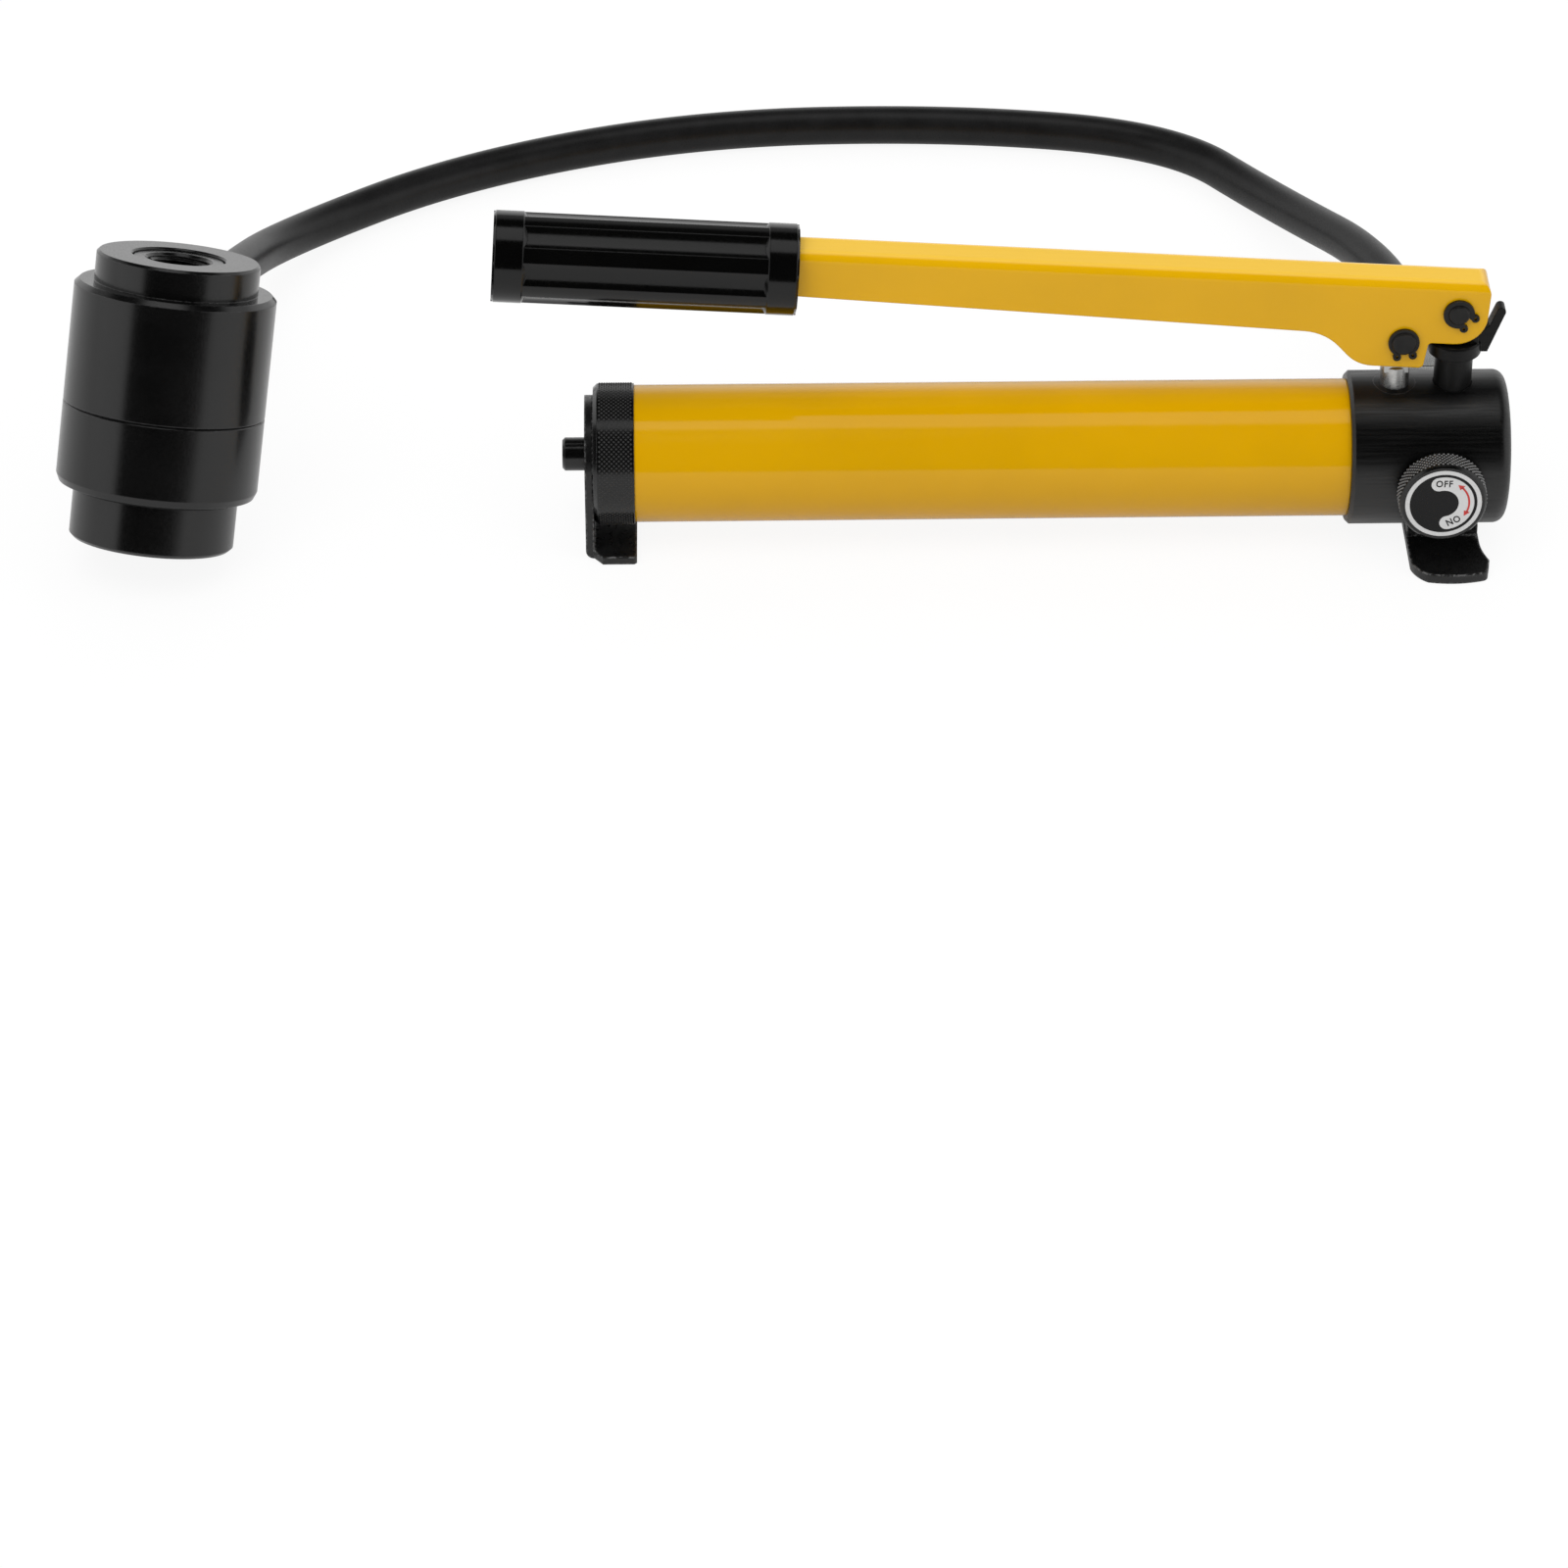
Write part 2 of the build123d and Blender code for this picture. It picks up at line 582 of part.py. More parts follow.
with BuildPart() as lever:
    with BuildSketch(lever_section(LEVER_TAIL, (LEVER_TOP + LUG_BOTTOM) / 2)) as channel:
        Rectangle(CHANNEL_W, LEVER_TOP - LUG_BOTTOM)
        fillet(channel.vertices().group_by(Axis.Y)[-1], radius=CHANNEL_BEND)
        with Locations((0, -CHANNEL_WALL)):
            with BuildSketch(mode=Mode.PRIVATE) as inside:
                Rectangle(CHANNEL_W - 2 * CHANNEL_WALL, LEVER_TOP - LUG_BOTTOM)
            add(inside.sketch, mode=Mode.SUBTRACT)
    extrude(amount=LEVER_END - LEVER_TAIL)
    with BuildSketch(LEVER):
        with BuildLine():
            FilletPolyline(
                (LEVER_TAIL, LEVER_TOP),
                (LEVER_END, LEVER_TOP),
                (LEVER_END, PLUNGER_PIN_W),
                (LUG_RIGHT_U, PLUNGER_PIN_W),
                (LUG_CORNER_U, LUG_BOTTOM),
                (LUG_U, LUG_BOTTOM),
                (NECK_U, NECK_BOTTOM),
                (LEVER_TAIL, TAIL_BOTTOM),
                radius=[0.3, 3.5, 9.4, 1.2, 1.6, 11.4, 16.0, 0.3],
                close=True,
            )
        make_face()
    extrude(amount=CHANNEL_W, both=True, mode=Mode.INTERSECT)
    with BuildSketch(LEVER):
        Circle(FULCRUM_PIN_R + SEAT)
        with Locations((PLUNGER_PIN_U, PLUNGER_PIN_W)):
            Circle(PLUNGER_PIN_R + SEAT)
    extrude(amount=CHANNEL_W, both=True, mode=Mode.SUBTRACT)
save(lever, "lever")

GRIP_SECTION = Plane(
    origin=LEVER.from_local_coords(Vector(GRIP_RIGHT, GRIP_W, 0)),
    x_dir=(0, 1, 0),
    z_dir=Vector(0, 1, 0).cross(LEVER.x_dir),
)
with BuildPart() as grip:
    with BuildSketch(across(GRIP_SECTION, -GRIP_LENGTH)):
        Circle(GRIP_LAND_R)
        with PolarLocations(GRIP_R - FLUTE_DEPTH + FLUTE_R, FLUTES, start_angle=FLUTE_START):
            Circle(FLUTE_R, mode=Mode.SUBTRACT)
    extrude(amount=GRIP_LENGTH)
    # smooth collars, coned down to the floors of the flutes
    core_r = GRIP_R - FLUTE_DEPTH - 0.3
    for end, inward in ((-GRIP_LENGTH, 1), (0, -1)):
        collar = end + inward * GRIP_COLLAR
        cone = collar + inward * (GRIP_R - core_r)
        revolve(
            outline(
                GRIP_SECTION,
                (0, end),
                (GRIP_R - 0.8, end),
                (GRIP_R, end + 0.8 * inward),
                (GRIP_R, collar),
                (core_r, cone),
                (0, cone),
            ),
            axis=spin(GRIP_SECTION),
        )
    pocket_top = LEVER_TOP + POCKET_GAP
    pocket_bottom = TAIL_BOTTOM - 2.4
    with BuildSketch(lever_section(GRIP_RIGHT)):
        with Locations((0, (pocket_top + pocket_bottom) / 2)):
            Rectangle(CHANNEL_W + 2 * POCKET_GAP, pocket_top - pocket_bottom)
    extrude(amount=LEVER_TAIL - 0.2 - GRIP_RIGHT, mode=Mode.SUBTRACT)
save(grip, "grip")

for pin_name, pin_u, pin_w, pin_r in (
    ("fulcrum_pin", 0, 0, FULCRUM_PIN_R),
    ("plunger_pin", PLUNGER_PIN_U, PLUNGER_PIN_W, PLUNGER_PIN_R),
):
    with BuildPart() as pin:
        with BuildSketch(LEVER):
            with Locations((pin_u, pin_w)):
                Circle(pin_r)
        extrude(amount=PIN_HALF, both=True)
        chamfer(pin.edges().filter_by(GeomType.CIRCLE), length=0.4)
        for side in (-1, 1):
            with BuildSketch(LEVER.offset(side * (CHANNEL_W / 2 + 0.1 + CLIP_T / 2))):
                with Locations((pin_u, pin_w)):
                    Circle(pin_r + 1)
                    Circle(pin_r - CLIP_DEPTH, mode=Mode.SUBTRACT)
            extrude(amount=CLIP_T / 2 + 0.05, both=True, mode=Mode.SUBTRACT)
    save(pin, pin_name)

for clip_name, clip_u, clip_w, clip_pin_r, clip_gap in (
    ("fulcrum_circlips", 0, 0, FULCRUM_PIN_R, -40),
    ("plunger_circlips", PLUNGER_PIN_U, PLUNGER_PIN_W, PLUNGER_PIN_R, -80),
):
    with BuildPart() as circlips:
        for side in (-1, 1):
            with BuildSketch(LEVER.offset(side * (CHANNEL_W / 2 + 0.1 + CLIP_T / 2))):
                with Locations((clip_u, clip_w)):
                    Circle(CLIP_R)
                    Circle(clip_pin_r - CLIP_DEPTH + SEAT, mode=Mode.SUBTRACT)
                with Locations(Location((clip_u, clip_w), clip_gap)):
                    with Locations((CLIP_R, 0)):
                        Rectangle(2 * CLIP_R, CLIP_GAP, mode=Mode.SUBTRACT)
                    ear = CLIP_GAP / 2 + CLIP_EAR_R - 0.15
                    with Locations((CLIP_R - 0.1, ear), (CLIP_R - 0.1, -ear)):
                        Circle(CLIP_EAR_R)
                        Circle(CLIP_EAR_HOLE_R, mode=Mode.SUBTRACT)
            extrude(amount=CLIP_T / 2, both=True)
    save(circlips, clip_name)

# ---------------------------------------------------------------- plunger, gland and post
pin_at_rest = LEVER.from_local_coords(Vector(PLUNGER_PIN_U, PLUNGER_PIN_W, 0))
slot_half = PLUNGER_PIN_R + abs(pin_at_rest.X - PLUNGER_X) + 0.3
slot_h = 2 * PLUNGER_PIN_R + 0.7
with BuildPart() as plunger:
    with BuildSketch(Plane.XY.offset(PLUNGER_BOTTOM)):
        with Locations((PLUNGER_X, 0)):
            Circle(PLUNGER_R)
    extrude(amount=PLUNGER_SHOULDER - PLUNGER_BOTTOM)
    chamfer(plunger.edges().filter_by(GeomType.CIRCLE), length=0.5)
    with BuildSketch(Plane.XZ):
        with Locations((PLUNGER_X, pin_at_rest.Z)):
            SlotOverall(2 * slot_half + 4.4, slot_h + 4.6)
        with Locations((PLUNGER_X, (PLUNGER_SHOULDER + pin_at_rest.Z) / 2 - 2)):
            Rectangle(2 * PLUNGER_R - 1.6, pin_at_rest.Z - PLUNGER_SHOULDER)
        with Locations((PLUNGER_X, pin_at_rest.Z)):
            SlotOverall(2 * slot_half, slot_h, mode=Mode.SUBTRACT)
    extrude(amount=TONGUE_T / 2, both=True)
save(plunger, "plunger")

with BuildPart() as plunger_gland:
    revolve(
        outline(
            PLUNGER_SECTION,
            (PLUNGER_R + SLIP, GLAND_SEAT_Z - GLAND_THREAD),
            (GLAND_THREAD_R - SEAT, GLAND_SEAT_Z - GLAND_THREAD),
            (GLAND_THREAD_R - SEAT, GLAND_SEAT_Z),
            (GLAND_R, GLAND_SEAT_Z),
            (GLAND_R, GLAND_SEAT_Z + GLAND_H - GLAND_CHAMFER),
            (GLAND_R - GLAND_CHAMFER, GLAND_SEAT_Z + GLAND_H),
            (PLUNGER_R + SLIP, GLAND_SEAT_Z + GLAND_H),
        ),
        axis=spin(PLUNGER_SECTION),
    )
save(plunger_gland, "plunger_gland")

with BuildPart() as plunger_seal:
    with BuildSketch(Plane.XY.offset(SEAL_Z)):
        with Locations((PLUNGER_X, 0)):
            Circle(GLAND_THREAD_R - SEAT)
            Circle(PLUNGER_R + SLIP, mode=Mode.SUBTRACT)
    extrude(amount=SEAL_T)
save(plunger_seal, "plunger_seal")

with BuildPart() as fulcrum_post:
    with BuildSketch(Plane.XY.offset(POST_SEAT_Z - POST_STUD)):
        with Locations((POST_X, 0)):
            Circle(POST_STUD_R)
    extrude(amount=POST_STUD)
    with BuildSketch(Plane.XY.offset(POST_SEAT_Z)):
        with Locations((POST_X, 0)):
            Circle(POST_R)
    extrude(amount=POST_FLANGE_Z - POST_SEAT_Z)
    with BuildSketch(Plane.XY.offset(POST_FLANGE_Z)):
        with Locations((POST_X, 0)):
            Circle(POST_FLANGE_R)
    extrude(amount=POST_FLANGE_T)
    flange_top = POST_FLANGE_Z + POST_FLANGE_T
    chamfer(fulcrum_post.edges().filter_by(GeomType.CIRCLE).group_by(Axis.Z)[-1], length=0.6)
    with BuildSketch(Plane.XZ):
        with Locations((FULCRUM_X, FULCRUM_Z)):
            Circle(POST_EYE_R)
        with BuildLine():
            Polyline(
                (POST_X - 6.4, flange_top - 1),
                (POST_X + 6.8, flange_top - 1),
                (FULCRUM_X + 6.2, FULCRUM_Z - 2.0),
                (FULCRUM_X - 6.2, FULCRUM_Z - 2.0),
                close=True,
            )
        make_face()
    extrude(amount=TONGUE_T / 2, both=True)
    with BuildSketch(Plane.XZ):
        with Locations((HORN_X, HORN_Z)):
            Circle(HORN_R)
        with BuildLine():
            Polyline(
                (FULCRUM_X, POST_FLANGE_Z + 0.4),
                (POST_X + 9.7, POST_FLANGE_Z + 0.4),
                (HORN_X + HORN_R, HORN_Z - 0.3),
                (HORN_X - HORN_R + 0.1, HORN_Z + 0.5),
                (HORN_X - 3.3, HORN_Z - 4.8),
                (FULCRUM_X + 7.0, FULCRUM_Z - 10.0),
                (FULCRUM_X, FULCRUM_Z - 10.0),
                close=True,
            )
        make_face()
    extrude(amount=HORN_T / 2, both=True)
    with BuildSketch(Plane.XZ):
        with Locations((FULCRUM_X, FULCRUM_Z)):
            Circle(FULCRUM_PIN_R + SLIP)
    extrude(amount=TONGUE_T, both=True, mode=Mode.SUBTRACT)
save(fulcrum_post, "fulcrum_post")


# ---------------------------------------------------------------- check and relief valves
def coil(start, direction, length, coil_r, wire_r, turns):
    """A compression spring standing on a point, its wire centre a wire radius inside each end."""
    rise = length - 2 * wire_r
    foot = tuple(start + direction * wire_r)
    with BuildPart() as spring:
        with BuildLine():
            wire = Helix(rise / turns, rise, coil_r, center=foot, direction=tuple(direction))
        with BuildSketch(Plane(origin=wire @ 0, z_dir=wire % 0)):
            Circle(wire_r)
        sweep(path=wire, is_frenet=True)
    return spring


valves = (
    # name, seat point, direction from the seat to the spring, spring length
    ("inlet", Vector(INLET_SEAT_X, 0, INLET_Z), Vector(1, 0, 0), INLET_SPRING),
    ("outlet", Vector(PLUNGER_X, 0, OUTLET_SEAT_Z), Vector(0, 0, -1), OUTLET_SPRING),
    ("relief", Vector(RELIEF_SEAT_X, RELIEF_Y, AXIS_H), Vector(1, 0, 0), RELIEF_SPRING),
)
# from a seat to the spring that rests on the ball
spring_start = BALL_SEAT + (BALL_R**2 - (VALVE_COIL_R - WIRE_R) ** 2) ** 0.5 + SEAT
for valve_name, seat, direction, spring_length in valves:
    with BuildPart() as valve_ball:
        with Locations(seat + direction * BALL_SEAT):
            Sphere(BALL_R)
    save(valve_ball, f"{valve_name}_ball")
    foot = seat + direction * spring_start
    valve_spring = coil(foot, direction, spring_length, VALVE_COIL_R, WIRE_R, VALVE_TURNS)
    save(valve_spring, f"{valve_name}_spring")

with BuildPart() as inlet_seat:
    inlet_section = Plane(origin=(0, 0, INLET_Z), x_dir=(0, 0, 1), z_dir=(0, 1, 0))
    with BuildSketch(across(inlet_section, NOSE_LEFT)):
        Circle(VALVE_BORE_R - SEAT)
        Circle(VALVE_HOLE_R, mode=Mode.SUBTRACT)
    extrude(amount=INLET_SEAT_X - NOSE_LEFT)
save(inlet_seat, "inlet_seat")

plug_bottom = AXIS_H - HEAD_R + 0.6
with BuildPart() as outlet_plug:
    with BuildSketch(Plane.XY.offset(plug_bottom)):
        with Locations((PLUNGER_X, 0)):
            Circle(VALVE_BORE_R - SEAT)
    extrude(amount=OUTLET_SEAT_Z - spring_start - OUTLET_SPRING - plug_bottom)
save(outlet_plug, "outlet_plug")

relief_section = Plane(origin=(0, RELIEF_Y, AXIS_H), x_dir=(0, 0, 1), z_dir=(0, 1, 0))
relief_screw_left = RELIEF_SEAT_X + spring_start + RELIEF_SPRING
relief_screw_right = HEAD_RIGHT - RELIEF_RECESS
with BuildPart() as relief_screw:
    with BuildSketch(across(relief_section, relief_screw_left)):
        Circle(VALVE_BORE_R - SEAT)
    extrude(amount=relief_screw_right - relief_screw_left)
    with BuildSketch(across(relief_section, relief_screw_right)):
        RegularPolygon(1.7, 6)
    extrude(amount=-2.5, mode=Mode.SUBTRACT)
save(relief_screw, "relief_screw")

# ---------------------------------------------------------------- release valve
stem_front = KNOB_FRONT + DIAL_T + 1.2
with BuildPart() as valve_stem:
    revolve(
        outline(
            Y_SECTION,
            (0, stem_front),
            (STEM_R, stem_front),
            (STEM_R, STEM_RING_Y),
            (STEM_R - STEM_RING_DEPTH, STEM_RING_Y),
            (STEM_R - STEM_RING_DEPTH, STEM_RING_Y + STEM_RING_W),
            (STEM_R, STEM_RING_Y + STEM_RING_W),
            (STEM_R, STEM_SHOULDER_Y),
            (STEM_NECK_R, STEM_SHOULDER_Y),
            (STEM_NECK_R, STEM_CONE_Y - 1.2),
            (0, STEM_TIP_Y - 1.5),
        ),
        axis=spin(Y_SECTION),
    )
save(valve_stem, "valve_stem")

with BuildPart() as stem_oring:
    with BuildSketch(across(Y_SECTION, STEM_RING_Y + 0.1)):
        Circle(STEM_R)
        Circle(STEM_R - STEM_RING_DEPTH + SEAT, mode=Mode.SUBTRACT)
    extrude(amount=STEM_RING_W - 0.2)
save(stem_oring, "stem_oring")

with BuildPart() as release_knob:
    with BuildSketch(across(Y_SECTION, KNOB_FRONT)):
        Circle(KNOB_R)
    extrude(amount=KNOB_LENGTH)
    chamfer(release_knob.edges().filter_by(GeomType.CIRCLE), length=KNOB_CHAMFER)
    with BuildSketch(across(Y_SECTION, KNOB_FRONT)):
        Circle(DIAL_R + SEAT)
    extrude(amount=DIAL_T, mode=Mode.SUBTRACT)
    with BuildSketch(across(Y_SECTION, stem_front - SEAT)):
        Circle(STEM_R + SEAT)
    extrude(amount=KNOB_LENGTH, mode=Mode.SUBTRACT)
save(release_knob, "release_knob")

with BuildPart() as knob_dial:
    with BuildSketch(across(Y_SECTION, KNOB_FRONT)):
        Circle(DIAL_R)
    extrude(amount=DIAL_T)
save(knob_dial, "knob_dial")

# ---------------------------------------------------------------- hose end at the pump
with BuildPart() as port_washer:
    with BuildSketch(across(Y_SECTION, PORT_FACE_Y)):
        Circle(WASHER_R)
        Circle(PORT_R + SEAT, mode=Mode.SUBTRACT)
    extrude(amount=WASHER_T)
save(port_washer, "port_washer")

hex_r = HEX_AF / 2 / cos(radians(30))
with BuildPart() as pump_adapter:
    with BuildSketch(across(Y_SECTION, THREAD_END_Y)):
        Circle(PORT_R)
    extrude(amount=PORT_FACE_Y + WASHER_T - THREAD_END_Y)
    with BuildSketch(across(Y_SECTION, PORT_FACE_Y + WASHER_T)):
        RegularPolygon(hex_r, 6)
    extrude(amount=ADAPTER_HEX)
    with BuildSketch(across(Y_SECTION, ADAPTER_END_Y)):
        Circle(ADAPTER_STUB_R)
    extrude(amount=ADAPTER_STUB)
    with BuildSketch(across(Y_SECTION, THREAD_END_Y)):
        Circle(OIL_WAY_R)
    extrude(amount=ADAPTER_END_Y + ADAPTER_STUB - THREAD_END_Y, mode=Mode.SUBTRACT)
save(pump_adapter, "pump_adapter")

nut_start_y = ADAPTER_END_Y + NUT_GAP
with BuildPart() as pump_hose_nut:
    with BuildSketch(across(Y_SECTION, nut_start_y)):
        RegularPolygon(hex_r, 6)
        Circle(ADAPTER_STUB_R + SEAT, mode=Mode.SUBTRACT)
    extrude(amount=NUT_END_Y - nut_start_y)
save(pump_hose_nut, "pump_hose_nut")


def ferrule(section, start, end, stem_end):
    """A crimped hose ferrule with its stem, from its collar to the hose's end face."""
    step = (end - start) / 6
    with BuildPart() as sleeve:
        revolve(
            outline(
                section,
                (OIL_WAY_R, stem_end),
                (FERRULE_STEM_R, stem_end),
                (FERRULE_STEM_R, start),
                (FERRULE_R, start),
                (FERRULE_R, start + 2 * step),
                (FERRULE_R - 0.7, start + 2.4 * step),
                (FERRULE_R - 0.7, start + 3.2 * step),
                (FERRULE_R, start + 3.6 * step),
                (FERRULE_R, start + 4.8 * step),
                (FERRULE_R - 1.2, end),
                (OIL_WAY_R, end),
            ),
            axis=spin(section),
        )
    return sleeve


pump_ferrule = ferrule(Y_SECTION, NUT_END_Y, PUMP_FERRULE_END_Y, ADAPTER_END_Y + ADAPTER_STUB)
save(pump_ferrule, "pump_ferrule")

# ---------------------------------------------------------------- ram
with BuildPart() as ram_cylinder:
    revolve(
        outline(
            RAM_SECTION,
            (RAM_BORE_R, RAM_SKIRT_BOTTOM),
            (RAM_SKIRT_R, RAM_SKIRT_BOTTOM),
            (RAM_SKIRT_R, RAM_JOINT),
            (RAM_R - JOINT_GROOVE, RAM_JOINT),
            (RAM_R, RAM_JOINT + JOINT_GROOVE),
            (RAM_R, RAM_SHOULDER - SHOULDER_ROUND),
            (RAM_R - SHOULDER_ROUND, RAM_SHOULDER),
            (RAM_BOSS_R, RAM_SHOULDER),
            (RAM_BOSS_R, RAM_TOP - BOSS_CHAMFER),
            (RAM_BOSS_R - BOSS_CHAMFER, RAM_TOP),
            (ROD_BORE_R + 0.5, RAM_TOP),
            (ROD_BORE_R, RAM_TOP - 0.5),
            (ROD_BORE_R, ROD_SEAL_TOP),
            (ROD_BORE_R + ROD_SEAL_DEPTH, ROD_SEAL_TOP),
            (ROD_BORE_R + ROD_SEAL_DEPTH, ROD_SEAL_TOP - ROD_SEAL_W),
            (ROD_BORE_R, ROD_SEAL_TOP - ROD_SEAL_W),
            (ROD_BORE_R, RAM_WALL_H),
            (RAM_BORE_R, RAM_WALL_H),
        ),
        axis=spin(RAM_SECTION),
    )
    # flat, thread and oil hole of the port
    with BuildSketch(across(RAM_PORT_SECTION, RAM_FLAT)):
        Circle(RAM_FLAT_R)
    extrude(amount=RAM_R, mode=Mode.SUBTRACT)
    with BuildSketch(across(RAM_PORT_SECTION, RAM_THREAD_START - 0.2)):
        Circle(PORT_R + SEAT)
    extrude(amount=RAM_R, mode=Mode.SUBTRACT)
    with BuildSketch(across(RAM_PORT_SECTION, RAM_BORE_R - 1)):
        Circle(VALVE_HOLE_R)
    extrude(amount=RAM_THREAD_START - RAM_BORE_R + 1, mode=Mode.SUBTRACT)
save(ram_cylinder, "ram_cylinder")

with BuildPart() as rod_seal:
    with BuildSketch(across(RAM_SECTION, ROD_SEAL_TOP - ROD_SEAL_W + 0.1)):
        Circle(ROD_BORE_R + ROD_SEAL_DEPTH - SEAT)
        Circle(ROD_BORE_R, mode=Mode.SUBTRACT)
    extrude(amount=ROD_SEAL_W - 0.2)
save(rod_seal, "rod_seal")

with BuildPart() as ram_end_ring:
    revolve(
        outline(
            RAM_SECTION,
            (RAM_CAP_R + 0.1, RING_BOTTOM),
            (RAM_R - RING_FLOOR, RING_BOTTOM),
            (RAM_R - 0.3 * RING_FLOOR, RING_BOTTOM + 0.3 * RING_FLOOR),
            (RAM_R, RING_BOTTOM + RING_FLOOR),
            (RAM_R, RAM_JOINT - JOINT_GROOVE),
            (RAM_R - JOINT_GROOVE, RAM_JOINT),
            (RAM_SKIRT_R + SEAT, RAM_JOINT),
            (RAM_SKIRT_R + SEAT, RING_BOTTOM + RING_FLOOR),
            (RAM_CAP_R + 0.1, RING_BOTTOM + RING_FLOOR),
        ),
        axis=spin(RAM_SECTION),
    )
save(ram_end_ring, "ram_end_ring")

spring_room_r = SPRING_R + SPRING_WIRE_R + SPRING_ROOM
with BuildPart() as ram_rear_cap:
    revolve(
        outline(
            RAM_SECTION,
            (0, 0),
            (RAM_CAP_R - RAM_CAP_CHAMFER, 0),
            (RAM_CAP_R, RAM_CAP_CHAMFER),
            (RAM_CAP_R, RING_BOTTOM + RING_FLOOR),
            (RAM_SKIRT_R, RING_BOTTOM + RING_FLOOR),
            (RAM_SKIRT_R, RAM_SKIRT_BOTTOM),
            (spring_room_r, RAM_SKIRT_BOTTOM),
            (spring_room_r, CAP_FLOOR),
            (0, CAP_FLOOR),
        ),
        axis=spin(RAM_SECTION),
    )
save(ram_rear_cap, "ram_rear_cap")

seal_bottom = PISTON_BOTTOM + PISTON_LAND
with BuildPart() as pull_rod:
    revolve(
        outline(
            RAM_SECTION,
            (0, PISTON_BOTTOM),
            (PISTON_R, PISTON_BOTTOM),
            (PISTON_R, seal_bottom),
            (PISTON_SEAL_R, seal_bottom),
            (PISTON_SEAL_R, seal_bottom + PISTON_SEAL_W),
            (PISTON_R, seal_bottom + PISTON_SEAL_W),
            (PISTON_R, PISTON_TOP - 1.5),
            (PISTON_R - 1.5, PISTON_TOP),
            (ROD_R, PISTON_TOP),
            (ROD_R, ROD_TOP - 0.4),
            (ROD_R - 0.4, ROD_TOP),
            (ROD_THREAD_R + THREAD_CHAMFER, ROD_TOP),
            (ROD_THREAD_R, ROD_TOP - THREAD_CHAMFER),
            (ROD_THREAD_R, ROD_TOP - ROD_THREAD_DEPTH),
            (0, ROD_TOP - ROD_THREAD_DEPTH - DRILL_POINT),
        ),
        axis=spin(RAM_SECTION),
    )
save(pull_rod, "pull_rod")

with BuildPart() as piston_seal:
    with BuildSketch(across(RAM_SECTION, seal_bottom + 0.1)):
        Circle(PISTON_R)
        Circle(PISTON_SEAL_R + SEAT, mode=Mode.SUBTRACT)
    extrude(amount=PISTON_SEAL_W - 0.2)
save(piston_seal, "piston_seal")

return_spring = coil(
    ram_foot + ram_axis * CAP_FLOOR,
    ram_axis,
    PISTON_BOTTOM - CAP_FLOOR,
    SPRING_R,
    SPRING_WIRE_R,
    SPRING_TURNS,
)
save(return_spring, "return_spring")

with BuildPart() as ram_adapter:
    with BuildSketch(across(RAM_PORT_SECTION, RAM_THREAD_START)):
        Circle(PORT_R)
    extrude(amount=RAM_FLAT - RAM_THREAD_START)
    with BuildSketch(across(RAM_PORT_SECTION, RAM_FLAT)):
        RegularPolygon(hex_r, 6)
    extrude(amount=RAM_ADAPTER_END - RAM_FLAT)
    with BuildSketch(across(RAM_PORT_SECTION, RAM_THREAD_START)):
        Circle(OIL_WAY_R)
    extrude(amount=RAM_ADAPTER_END, mode=Mode.SUBTRACT)
save(ram_adapter, "ram_adapter")

ram_ferrule = ferrule(RAM_PORT_SECTION, RAM_FERRULE_START, RAM_FERRULE_END, RAM_ADAPTER_END)
save(ram_ferrule, "ram_ferrule")

# ---------------------------------------------------------------- hose
port_centre = RAM_PORT_SECTION.origin
HOSE_ROUTE = (
    tuple(port_centre + port_axis * RAM_FERRULE_END),
    tuple(port_centre + port_axis * (RAM_FERRULE_END + HOSE_LEAD)),
    (-361, 165, 8),
    (-304, 212, HOSE_LAY_Z),
    (-226, 240, HOSE_LAY_Z),
    (-140, 243, HOSE_LAY_Z),
    (-64, 229.5, HOSE_LAY_Z),
    (-34, 188, HOSE_LAY_Z),
    (0, PUMP_FERRULE_END_Y + HOSE_PUMP_LEAD, AXIS_H),
    (0, PUMP_FERRULE_END_Y, AXIS_H),
)
route = [Vector(*point) for point in HOSE_ROUTE]
bends = []
for before, at, after in zip(route, route[1:], route[2:]):
    half_turn = radians((at - before).get_angle(after - at)) / 2
    bends.append(0.45 * min((at - before).length, (after - at).length) / tan(half_turn))
print("hose bend radii", [round(bend) for bend in bends])

with BuildPart() as hose:
    with BuildLine():
        hose_line = FilletPolyline(*HOSE_ROUTE, radius=bends)
    with BuildSketch(Plane(origin=hose_line @ 0, z_dir=hose_line % 0)):
        Circle(HOSE_R)
        Circle(HOSE_BORE_R, mode=Mode.SUBTRACT)
    sweep()
hose_length = sum(edge.length for edge in hose_line.edges())
print("hose length", round(hose_length, 1), "lowest", round(hose.part.bounding_box().min.Z, 3))
save(hose, "hose")
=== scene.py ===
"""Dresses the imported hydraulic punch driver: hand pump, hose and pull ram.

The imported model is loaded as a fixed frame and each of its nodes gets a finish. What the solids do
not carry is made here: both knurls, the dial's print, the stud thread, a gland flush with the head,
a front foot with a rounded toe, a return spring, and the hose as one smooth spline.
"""

import json
import logging
from dataclasses import dataclass, replace
from enum import Enum
from math import cos, pi, radians, sin, tan
from typing import Any

import bmesh
import bpy
from mathutils import Matrix, Vector


